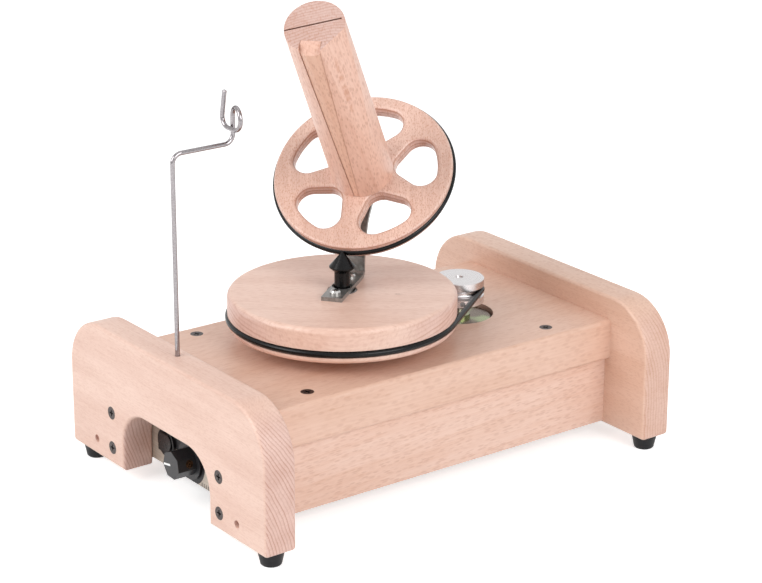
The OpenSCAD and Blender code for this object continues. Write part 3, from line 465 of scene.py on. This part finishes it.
def head_place(x, y, z):
    """A point of the winding head's own frame, in millimetres of the shared frame."""
    return (HEAD @ (Vector((x, y, z)) * MM)) / MM


def stained(finish, share, stain):
    """The finish with part of its colour, where the share says, changed to the stain."""
    tree = finish.node_tree
    base = tree.nodes["Principled BSDF"].inputs["Base Color"]
    tree.links.new(blend_colour(tree, share, base.links[0].from_socket, stain), base)
    return finish


def with_seams(finish):
    """Darkens the glue lines beside the core's strip."""
    side = math.radians(STRIP_ANGLE)
    out = head_way(math.cos(side), math.sin(side), 0)
    axle = head_way(0, 0, 1)
    turn = Matrix((out, axle.cross(out), axle))
    tree = finish.node_tree
    seams = use_group(tree, WEDGE_SEAMS, Turn=turn.to_euler("XYZ"), Shift=-(turn @ HEAD_CENTRE))
    return stained(finish, maths(tree, "MULTIPLY", seams["Line"], 0.42), rgb(160, 108, 80))


def with_slot_shade(finish):
    """Darkens the walls of the saw cut in the core's end."""
    side = math.radians(SAW_ANGLE)
    across = head_way(math.cos(side), math.sin(side), 0)
    along = head_way(math.sin(side), -math.cos(side), 0)
    axle = head_way(0, 0, 1)
    tree = finish.node_tree
    where = put(tree, "TexCoord").outputs["Object"]
    off = put(tree, "VectorMath", {0: where, 1: HEAD_CENTRE}, operation="SUBTRACT").outputs[0]
    far, up, run = [put(tree, "VectorMath", {0: off, 1: way}, operation="DOT_PRODUCT").outputs["Value"]
                    for way in (across, axle, along)]
    gap = maths(tree, "ABSOLUTE", maths(tree, "SUBTRACT", far, SAW_OFFSET))
    cut = maths(tree, "MULTIPLY", maths(tree, "GREATER_THAN", up, SAW_BOTTOM),
                maths(tree, "LESS_THAN", run, SAW_END))
    shade = maths(tree, "MULTIPLY", smooth_step(tree, gap, 0.5 * MM, 0.7 * MM, 0.8, 0.0), cut)
    return stained(finish, shade, rgb(104, 58, 52))


def with_mark(finish, place, along, across, length, width, stain, strength):
    """A dark mark of the wood: an ellipse round a place, all in millimetres."""
    tree = finish.node_tree
    where = put(tree, "TexCoord").outputs["Object"]
    off = put(tree, "VectorMath", {0: where, 1: Vector(place) * MM}, operation="SUBTRACT").outputs[0]
    squares = []
    for way in (along / (length * MM), across / (width * MM)):
        step = put(tree, "VectorMath", {0: off, 1: way}, operation="DOT_PRODUCT").outputs["Value"]
        squares.append(maths(tree, "MULTIPLY", step, step))
    reach = maths(tree, "ADD", *squares)
    patches = noise(tree, stretch(tree, where, (width * 2,) * 3))
    broken = smooth_step(tree, patches, 0.35, 0.6)
    share = maths(tree, "MULTIPLY", smooth_step(tree, reach, 0.2, 1.0, strength, 0.0), broken)
    return stained(finish, share, rgb(*stain))


def along_head(name, grain, outward, heart, **figure):
    """Beech of the winding head, with its directions and its heart in the head's own frame."""
    return beech(name, head_way(*grain), head_way(*outward), head_place(*heart), **figure)


def turntable_finish():
    """The turntable's beech, with the small pin knot in front of the bracket."""
    finish = beech("turntable_beech", TABLE_GRAIN, (0.1, 0.15, 1), (-27, 0, -120), ring_width=3.2,
                   end_rings=1.0, face_rings=0.2, flecks=0.22, fleck_length=5.0, fleck_width=1.2,
                   late=(203, 156, 134), coat=0.4)
    return with_mark(finish, (0, -31.7, 133.8), TABLE_GRAIN, UP.cross(TABLE_GRAIN), length=4.5,
                     width=1.1, stain=(150, 104, 80), strength=0.7)


def core_finish():
    """The core's beech, with its glue lines, its saw cut and a brown streak on the flat."""
    finish = along_head("core_beech", (0, 0, 1), (1, 0.4, 0), (-90, -36, 0), ring_width=2.4,
                        end_rings=0.9, face_rings=0.3, flecks=0.42, fleck_length=4.5, fleck_width=1.2,
                        pale=(232, 190, 171), late=(206, 152, 128), ray=(178, 122, 98),
                        end_tint=(0.78, 0.84, 0.93, 1))
    finish = with_slot_shade(with_seams(finish))
    return with_mark(finish, head_place(-13, -14, 128), head_way(0.02, -0.05, 1), head_way(0.6, -0.8, 0),
                     length=38, width=2.6, stain=(196, 134, 104), strength=0.6)


def wheel_finish():
    """The wheel's beech. The log's heart lies far below it, so that the growth rings run with its
    faces and show as lines on the walls of its openings."""
    return along_head("wheel_beech", (1, 0.23, 0), (0, 0, 1), (0, 0, -1992.3), ring_width=3.0,
                      end_rings=1.0, face_rings=0.9, flecks=0.8, fleck_length=1.7, fleck_width=0.65,
                      waver=1.2, pale=(226, 190, 174), late=(168, 116, 92), ray=(186, 130, 104),
                      coat=0.7)


def wedge_finish():
    """The tapered strip's beech, with the glue lines on its edges."""
    return with_seams(along_head("wedge_beech", (0, 0, 1), (-1, 0.3, 0), (60, -30, 0), ring_width=2.2,
                                 end_rings=0.5, face_rings=0.3, flecks=0.4, fleck_length=4.0,
                                 fleck_width=1.1, pale=(236, 194, 172), late=(213, 160, 134),
                                 ray=(184, 126, 100)))


def rail_finish(name, way):
    """Beech of a rail; way is -1 for the front one and 1 for the back one."""
    return beech(name, (1, 0, 0.03), (0, way, 0.4), (0, -120 * way, -60), ring_width=3.0, end_rings=0.6,
                 face_rings=0.2, flecks=0.32, fleck_length=6.0, fleck_width=1.3, late=(210, 160, 132))


# The finishes. A mottled one gives its dark and its light colour, then its roughness, the patches
# in a metre, the relief in millimetres and how metallic it is
FINISH = {
    "left_board": beech("left_board_beech", (0, 1, 0), (0.88, 0, 0.47), (-346, 0, -32), ring_width=2.5,
                        end_rings=1.0, face_rings=0.08, flecks=0.16, late=(199, 152, 132)),
    # Painted shade: the right board's beech is a little darker and more orange than the left board's,
    # for the shade and the warm bounced light on its inner face
    "right_board": beech("right_board_beech", (0, 1, 0), (0.99, 0, 0.12), (-60, 0, 30), ring_width=2.6,
                         end_rings=0.8, face_rings=0.14, flecks=0.22, pale=(229, 193, 173),
                         late=(206, 158, 130)),
    # Painted shade: the deck's beech is a little darker and more orange than the left board's, for the
    # shade behind the turntable and the warm light bounced between the boards
    "deck": beech("deck_beech", (1, 0, 0.004), (0, 0.3, 1), (0, -90, -180), ring_width=3.0,
                  end_rings=0.6, face_rings=0.2, flecks=0.24, fleck_length=6.5, fleck_width=1.3,
                  pale=(227, 191, 172), late=(207, 160, 133), coat=0.3),
    "front_rail": rail_finish("front_rail_beech", -1),
    "back_rail": rail_finish("back_rail_beech", 1),
    "turntable": turntable_finish(),
    "wheel": wheel_finish(),
    "core": core_finish(),
    "wedge": wedge_finish(),
    "rubber": mottled("black_rubber", (4, 4, 5), (11, 10, 12), (0.2, 0.3), 900.0, 0.01,
                      Specular_IOR_Level=0.24),
    "foot_rubber": mottled("foot_rubber", (9, 9, 12), (22, 22, 26), (0.4, 0.55), 700.0, 0.03,
                           Specular_IOR_Level=0.3),
    "pulley": turned_metal("turned_aluminium", PULLEY_AXIS, (214, 210, 210), (219, 216, 217),
                           (0.25, 0.3)),
    "steel": mottled("bright_steel", (184, 181, 179), (212, 210, 208), (0.2, 0.3), 900.0, 0.004, 1.0),
    "wire": mottled("stainless_wire", (142, 137, 139), (166, 161, 163), (0.1, 0.14), 900.0, 0.0006,
                    1.0),
    "zinc": mottled("zinc_plate", (130, 128, 125), (156, 153, 150), (0.28, 0.38), 500.0, 0.006, 0.75),
    "dark_screw": mottled("gunmetal_screw", (66, 60, 59), (98, 90, 88), (0.3, 0.42), 800.0, 0.01, 1.0),
    "motor": passivated("yellow_zinc"),
    "knob": mottled("knob_plastic", (22, 22, 25), (42, 42, 46), (0.34, 0.46), 1800.0, 0.02,
                    Specular_IOR_Level=0.5),
    "switch": mottled("switch_plastic", (18, 17, 19), (30, 28, 30), (0.3, 0.42), 900.0, 0.01),
    # The rocker is dark plastic, made a little lighter and warmer than the housing as a painted
    # reflection of the wood round it
    "rocker": mottled("rocker_plastic", (30, 27, 27), (44, 40, 39), (0.26, 0.36), 1500.0, 0.01),
    "socket": mottled("socket_plastic", (24, 23, 26), (38, 36, 40), (0.4, 0.5), 900.0, 0.02),
    "white_paint": mottled("white_paint", (240, 240, 240), (252, 252, 252), (0.35, 0.5), 900.0, 0.01),
    "brass": mottled("brass_screw", (74, 54, 38), (104, 76, 52), (0.3, 0.45), 600.0, 0.01, 0.8),
    "plate": marked_plate_with_painted_shade("control_plate_aluminium"),
    "circuit": mottled("circuit_board", (16, 66, 38), (34, 92, 56), (0.35, 0.55), 300.0, 0.02),
}

# The finish of each solid
NODE_FINISH = {
    "left_end_board": "left_board",
    "right_end_board": "right_board",
    "deck_board": "deck",
    "front_rail": "front_rail",
    "back_rail": "back_rail",
    "end_board_screws": "dark_screw",
    "deck_screws": "dark_screw",
    "rubber_feet": "foot_rubber",
    "foot_screws": "steel",
    "control_plate": "plate",
    "control_plate_screws": "steel",
    "speed_potentiometer": "zinc",
    "potentiometer_nut": "steel",
    "switch_housing": "switch",
    "power_socket": "socket",
    "speed_circuit_board": "circuit",
    "board_standoffs": "steel",
    "drive_motor": "motor",
    "motor_flange": "zinc",
    "motor_flange_screws": "steel",
    "centre_spindle": "steel",
    "spindle_nuts": "steel",
    "spindle_washers": "steel",
    "spindle_spacer": "steel",
    "friction_cone": "rubber",
    "drive_belt": "rubber",
    "turntable": "turntable",
    "upper_bearing": "steel",
    "lower_bearing": "steel",
    "head_bracket": "zinc",
    "bracket_screws": "steel",
    "head_axle": "steel",
    "axle_spacer": "steel",
    "axle_nut": "steel",
    "winding_wheel": "wheel",
    "friction_ring": "rubber",
    "winding_core": "core",
    "core_wedge": "wedge",
    "outer_head_bearing": "steel",
    "inner_head_bearing": "steel",
    "core_screws": "steel",
    "motor_pulley": "pulley",
    "motor_shaft": "pulley",
    "pulley_set_screw": "steel",
    "speed_knob": "knob",
    "knob_pointer": "white_paint",
    "knob_set_screw": "brass",
    "potentiometer_shaft": "steel",
    "switch_rocker": "rocker",
    "yarn_guide": "wire",
}

for node_name, finish_name in NODE_FINISH.items():
    for slot in frame["nodes"][node_name].material_slots:
        slot.material = FINISH[finish_name]


# Meshes of the pieces with rounded edges

def rounded_loop(corners, step):
    """A closed outline through corners (x, y, radius), each rounded, in steps of so many degrees."""
    points = []
    count = len(corners)
    for i, (x, y, radius) in enumerate(corners):
        here = Vector((x, y))
        if radius == 0:
            points.append(here)
            continue
        back = (Vector(corners[i - 1][:2]) - here).normalized()
        ahead = (Vector(corners[(i + 1) % count][:2]) - here).normalized()
        half = back.angle(ahead) / 2
        centre = here + (back + ahead).normalized() * radius / math.sin(half)
        start = here + back * radius / math.tan(half) - centre
        sweep = math.pi - 2 * half
        if back.x * ahead.y - back.y * ahead.x > 0:
            sweep = -sweep
        steps = max(2, math.ceil(abs(math.degrees(sweep)) / step))
        for k in range(steps + 1):
            turn = sweep * k / steps
            points.append(centre + Vector((start.x * math.cos(turn) - start.y * math.sin(turn),
                                           start.x * math.sin(turn) + start.y * math.cos(turn))))
    return points


def moved_left(points, distance):
    """A closed outline with each side moved to its left, into the wood."""
    moved = []
    count = len(points)
    for i, here in enumerate(points):
        before = (here - points[i - 1]).normalized()
        after = (points[(i + 1) % count] - here).normalized()
        left = Vector((-before.y - after.y, before.x + after.x)).normalized()
        spread = max(0.35, left.dot(Vector((-after.y, after.x))))
        moved.append(here + left * distance / spread)
    return moved


def round_over(radius, thick):
    """Side of a board from its upper to its lower face: how far in and how high, edges rounded. The
    first and last points lie a little further in on the two faces, so that these shade flat."""
    steps = 5
    turns = [math.pi / 2 * i / steps for i in range(steps + 1)]
    upper = [(radius * (1 - math.sin(a)), thick - radius * (1 - math.cos(a))) for a in turns]
    upper.insert(0, (radius * 1.12, thick))
    return upper + [(inset, thick - height) for inset, height in reversed(upper)]


def board_mesh(name, loops):
    """A flat board. Loops holds (outline, side) pairs, the wood always on an outline's left."""
    shape = bmesh.new()
    ends = []
    for outline, side in loops:
        rings = [[shape.verts.new((p.x, p.y, height)) for p in moved_left(outline, inset)]
                 for inset, height in side]
        for upper, lower in zip(rings, rings[1:]):
            for i in range(len(outline)):
                shape.faces.new((upper[i - 1], lower[i - 1], lower[i], upper[i]))
        ends.append((rings[0], rings[-1]))
    for end, way in ((0, 1), (1, -1)):
        edges = [shape.edges.get((pair[end][i - 1], pair[end][i]))
                 for pair in ends for i in range(len(pair[end]))]
        bmesh.ops.triangle_fill(shape, use_beauty=True, edges=edges, normal=(0, 0, way))
    bmesh.ops.recalc_face_normals(shape, faces=shape.faces)
    mesh = bpy.data.meshes.new(name)
    shape.to_mesh(mesh)
    shape.free()
    return mesh


def new_piece(name, mesh, place, finish):
    """A piece of the scene from a mesh in its own frame."""
    mesh.transform(place)
    mesh.materials.append(finish)
    for face in mesh.polygons:
        face.use_smooth = True
    mesh.set_sharp_from_angle(angle=math.radians(32))
    piece = bpy.data.objects.new(name, mesh)
    bpy.context.scene.collection.objects.link(piece)
    return piece


def turned_mesh(name, profile, places):
    """Closed turned shapes from one (radius, height) profile, one at each place."""
    sides = 40
    turns = [2 * math.pi * k / sides for k in range(sides)]
    circle = [(math.cos(turn), math.sin(turn)) for turn in turns]
    shape = bmesh.new()
    for place in places:
        rings = []
        for radius, height in profile:
            if radius == 0:
                rings.append([shape.verts.new(place @ Vector((0, 0, height)))] * sides)
                continue
            rings.append([shape.verts.new(place @ Vector((radius * x, radius * y, height)))
                          for x, y in circle])
        for lower, upper in zip(rings, rings[1:]):
            for k in range(sides):
                corners = []
                for vert in (lower[k - 1], lower[k], upper[k], upper[k - 1]):
                    if vert not in corners:
                        corners.append(vert)
                shape.faces.new(corners)
    bmesh.ops.recalc_face_normals(shape, faces=shape.faces)
    mesh = bpy.data.meshes.new(name)
    shape.to_mesh(mesh)
    shape.free()
    return mesh


def cut_away(mesh, cutter_mesh):
    """The mesh with another mesh cut out of it."""
    body = bpy.data.objects.new("body_to_cut", mesh)
    cutter = bpy.data.objects.new("cutter", cutter_mesh)
    for one in (body, cutter):
        bpy.context.scene.collection.objects.link(one)
    cut = body.modifiers.new("cut", "BOOLEAN")
    cut.operation = "DIFFERENCE"
    cut.solver = "EXACT"
    cut.object = cutter
    bpy.context.view_layer.update()
    done = bpy.data.meshes.new_from_object(body.evaluated_get(bpy.context.evaluated_depsgraph_get()))
    for one in (body, cutter):
        bpy.data.objects.remove(one)
    return done


def facing(x_way, y_way, place):
    """A frame at a place, given in millimetres, with its local x and y along these ways."""
    x_way = Vector(x_way)
    y_way = Vector(y_way)
    turn = Matrix((x_way, y_way, x_way.cross(y_way))).transposed().to_4x4()
    return Matrix.Translation(Vector(place) * MM) @ turn


# Rounds of the end boards: long edges, lower corners and upper corners
EDGE_ROUND = 2.6 * MM
FOOT_ROUND = 3 * MM
SHOULDER_ROUND = 40 * MM

# The control notch in the left end board, its height measured from the board's lower edge
NOTCH_FRONT = -57.9 * MM
NOTCH_BACK = 55.1 * MM
NOTCH_HIGH = 49.2 * MM
NOTCH_ROUND = 28 * MM

# Holes of the end boards, in millimetres: y and z of the screws and pegs, and the (radius, depth)
# profiles, which start a little outside the wood
SCREW_LINES = (-70.7, 70.7)
SCREW_LEVELS = (24.0, 51.2)
PEG_LINES = (-92.6, 92.6)
PEG_LEVEL = 24.0
SEAT = ((0, 0.4), (4.95, 0.4), (4.95, -0.5), (2.5, -3.0), (2.5, -8), (0, -8))
PEG_HOLE = ((0, 0.4), (3.1, 0.4), (2.75, -0.35), (2.75, -14.6), (0, -15))
GUIDE_HOLE = ((0, 0.4), (2.15, 0.4), (1.95, -0.3), (1.95, -30), (0, -30))


def scaled(profile):
    """A profile of millimetres, in metres."""
    return [(radius * MM, height * MM) for radius, height in profile]


def end_board_outline(notched):
    """Outline of an end board seen from its right side, with its lower edge at zero."""
    corners = [(-BOARD_HALF, 0, FOOT_ROUND)]
    if notched:
        corners += [(NOTCH_FRONT, 0, 0), (NOTCH_FRONT, NOTCH_HIGH, NOTCH_ROUND),
                    (NOTCH_BACK, NOTCH_HIGH, NOTCH_ROUND), (NOTCH_BACK, 0, 0)]
    corners += [(BOARD_HALF, 0, FOOT_ROUND), (BOARD_HALF, BOARD_HIGH, SHOULDER_ROUND),
                (-BOARD_HALF, BOARD_HIGH, SHOULDER_ROUND)]
    return rounded_loop(corners, step=4)


def end_board(name, node, notched, inner_x, outer_x):
    """An end board with rounded edges and its holes, in place of the solid one. The places of its
    faces are in millimetres; the left board is the notched one."""
    outer_way = math.copysign(1, outer_x)
    side = round_over(EDGE_ROUND, BOARD_THICK)
    mesh = board_mesh(name, [(end_board_outline(notched), side)])
    mesh.transform(facing((0, 1, 0), (0, 0, 1), (min(inner_x, outer_x), 0, BOARD_LOW / MM)))
    seats = [facing((0, outer_way, 0), (0, 0, 1), (outer_x, y, z))
             for y in SCREW_LINES for z in SCREW_LEVELS]
    cutter = bmesh.new()
    cutter.from_mesh(turned_mesh("seats", scaled(SEAT), seats))
    if notched:
        pegs = [facing((0, outer_way, 0), (0, 0, 1), (outer_x, y, PEG_LEVEL)) for y in PEG_LINES]
        cutter.from_mesh(turned_mesh("pegs", scaled(PEG_HOLE), pegs))
        guide = [Matrix.Translation((GUIDE_AXIS.x, GUIDE_AXIS.y, BOARD_LOW + BOARD_HIGH))]
        cutter.from_mesh(turned_mesh("guide", scaled(GUIDE_HOLE), guide))
    holes = bpy.data.meshes.new("holes")
    cutter.to_mesh(holes)
    cutter.free()
    piece = new_piece(name, cut_away(mesh, holes), Matrix.Identity(4), FINISH[NODE_FINISH[node]])
    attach(piece, "stand")
    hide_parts(node)


# Faces of the end boards, measured from the stand's middle, in millimetres
OUTER_X = STAND_HALF / MM
INNER_X = (STAND_HALF - BOARD_THICK) / MM
end_board("left_end_board_rounded", "left_end_board", True, -INNER_X, -OUTER_X)
end_board("right_end_board_rounded", "right_end_board", False, INNER_X, OUTER_X)

# The winding wheel: its rim, its plain hole, and how its openings are turned and rounded
WHEEL_RADIUS = 67 * MM
WHEEL_THICK = 12 * MM
WHEEL_HOLE = 11.1 * MM
OPENING_COUNT = 5
OPENING_TURN = -1.6
OPENING_ROUND = 3.6 * MM


def arc(centre, radius, start, end, steps):
    """Points on an arc, its angles in radians."""
    return [centre + radius * Vector((math.cos(start + (end - start) * k / steps),
                                      math.sin(start + (end - start) * k / steps)))
            for k in range(steps + 1)]


def wheel_opening():
    """Outline of one opening, clockwise, on the x axis of the wheel."""
    outer = 55.4 * MM
    corner = 11.3 * MM
    inner = 10.8 * MM
    inner_x = 34.5 * MM
    side_y = 8.4 * MM
    corner_x = math.sqrt((outer - corner) ** 2 - side_y ** 2)
    lean = math.asin(side_y / (outer - corner))
    link = math.hypot(corner_x - inner_x, side_y)
    side = math.atan2(side_y, corner_x - inner_x) + math.acos((corner - inner) / link)
    points = arc(Vector((inner_x, 0)), inner, side, 2 * math.pi - side, 14)
    points += arc(Vector((corner_x, -side_y)), corner, -side, -lean, 12)
    points += arc(Vector((0, 0)), outer, -lean, lean, 6)[1:-1]
    points += arc(Vector((corner_x, side_y)), corner, lean, side, 12)
    return list(reversed(points))


def circle_of(radius, sides):
    """A full circle round the middle, counterclockwise."""
    return arc(Vector((0, 0)), radius, 0, 2 * math.pi, sides)[:-1]


def turned_by(points, degrees):
    turn = Matrix.Rotation(math.radians(degrees), 2)
    return [turn @ point for point in points]


def wheel_rim_side():
    """Rim of the wheel from its upper to its lower face, as round_over gives it, but with the groove
    for the friction ring between the rounded edges."""
    edge = 2 * MM
    groove = 2.3 * MM
    deep = 0.5 * MM
    start = math.asin(deep / groove)
    middle = WHEEL_THICK / 2
    turns = [math.pi / 8 * k for k in range(5)]
    sweep = [math.pi / 2 - start - (math.pi - 2 * start) * k / 10 for k in range(11)]
    upper = [(edge * 1.2, WHEEL_THICK)]
    upper += [(edge * (1 - math.sin(a)), WHEEL_THICK - edge * (1 - math.cos(a))) for a in turns]
    hollow = [(groove * math.cos(a) - deep, middle + groove * math.sin(a)) for a in sweep]
    lower = [(inset, WHEEL_THICK - height) for inset, height in reversed(upper)]
    return upper + hollow + lower


def winding_wheel():
    """The wheel with its rounded openings, in place of the solid one."""
    hole = list(reversed(circle_of(WHEEL_HOLE, 48)))
    opening = wheel_opening()
    opening_side = round_over(OPENING_ROUND, WHEEL_THICK)
    loops = [(circle_of(WHEEL_RADIUS, 120), wheel_rim_side()), (hole, [(0, WHEEL_THICK), (0, 0)])]
    loops += [(turned_by(opening, 360 / OPENING_COUNT * k + OPENING_TURN), opening_side)
              for k in range(OPENING_COUNT)]
    mesh = board_mesh("winding_wheel_rounded", loops)
    place = HEAD @ Matrix.Translation((0, 0, -WHEEL_THICK))
    piece = new_piece("winding_wheel_rounded", mesh, place, FINISH["wheel"])
    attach(piece, "winding_head")
    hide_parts("winding_wheel")


winding_wheel()


def soften_edges(width, nodes):
    """Rounds the sharp edges of these solids a little, in millimetres."""
    for node in nodes:
        bevel = frame["nodes"][node].modifiers.new("soft_edges", "BEVEL")
        bevel.width = width * MM
        bevel.segments = 2
        bevel.limit_method = "ANGLE"
        bevel.angle_limit = math.radians(50)


soften_edges(1.0, ["deck_board", "front_rail", "back_rail"])
soften_edges(0.35, ["speed_knob", "head_bracket", "motor_pulley"])


# Floor, light and camera

def seen_white(tree):
    """One for rays of the camera, of reflections and through glass, and zero for all other rays."""
    path = put(tree, "LightPath").outputs
    return maths(tree, "MAXIMUM", path["Is Camera Ray"],
                 maths(tree, "MAXIMUM", path["Is Glossy Ray"], path["Is Transmission Ray"]))


def pale_floor(glow_level, paper_tone):
    """A white sheet that keeps the shadow and shows white in glossy pieces."""
    half = 4.0
    mesh = bpy.data.meshes.new("floor")
    corners = [(-half, -half, 0), (half, -half, 0), (half, half, 0), (-half, half, 0)]
    mesh.from_pydata(corners, [], [(0, 1, 2, 3)])
    floor = bpy.data.objects.new("floor", mesh)
    bpy.context.scene.collection.objects.link(floor)
    finish = bpy.data.materials.new("white_sheet")
    finish.use_nodes = True
    tree = finish.node_tree
    tree.nodes.clear()
    level = maths(tree, "MULTIPLY", seen_white(tree), glow_level)
    glow = put(tree, "Emission", {"Color": (1, 1, 1, 1), "Strength": level})
    sheet = put(tree, "BsdfDiffuse", {"Color": (paper_tone, paper_tone, paper_tone, 1)})
    both = put(tree, "AddShader", {0: glow.outputs[0], 1: sheet.outputs[0]})
    out = put(tree, "OutputMaterial", {"Surface": both.outputs[0]})
    out.is_active_output = True
    mesh.materials.append(finish)


def white_room(strength):
    """Even light from all round; the camera and glossy pieces see plain white."""
    world = bpy.data.worlds.new("white_room")
    bpy.context.scene.world = world
    world.use_nodes = True
    tree = world.node_tree
    level = smooth_step(tree, seen_white(tree), 0.0, 1.0, strength, 1.0)
    background = tree.nodes["Background"]
    background.inputs["Color"].default_value = (1, 1, 1, 1)
    tree.links.new(level, background.inputs["Strength"])


def soft_box(name, place, target, size, power):
    """A rectangular lamp that faces its target, in metres and watts."""
    lamp = bpy.data.lights.new(name, "AREA")
    lamp.shape = "RECTANGLE"
    lamp.size, lamp.size_y = size
    lamp.energy = power
    made = bpy.data.objects.new(name, lamp)
    made.location = place
    made.rotation_euler = (Vector(target) - Vector(place)).to_track_quat("-Z", "Y").to_euler()
    bpy.context.scene.collection.objects.link(made)


def photo_camera():
    """The camera of the photograph, solved from the edges of the stand."""
    lens = bpy.data.cameras.new("photo_camera")
    lens.sensor_width = 36.0
    lens.lens = 116.19
    lens.shift_x = 0.0099
    lens.shift_y = 0.0112
    lens.clip_end = 60.0
    camera = bpy.data.objects.new("photo_camera", lens)
    right = Vector((0.803315, -0.595551, 0.001832))
    forward = Vector((0.560826, 0.755433, -0.338813))
    turn = Matrix((right, right.cross(forward), -forward)).transposed().to_4x4()
    camera.matrix_world = Matrix.Translation((-1.01324, -1.36666, 0.73262)) @ turn
    bpy.context.scene.collection.objects.link(camera)
    bpy.context.scene.camera = camera


OBJECT_MIDDLE = (0, 0, 0.12)
pale_floor(glow_level=0.58, paper_tone=0.86)
white_room(strength=0.49)
soft_box("front_soft_box", (0.15, -2.1, 1.25), OBJECT_MIDDLE, size=(1.5, 1.2), power=28)
soft_box("left_soft_box", (-1.85, 0.3, 1.3), OBJECT_MIDDLE, size=(1.3, 1.3), power=25.5)
soft_box("top_soft_box", (0.2, 0.5, 2.3), OBJECT_MIDDLE, size=(1.4, 1.4), power=3.5)
photo_camera()

bpy.context.scene.view_settings.view_transform = "Standard"
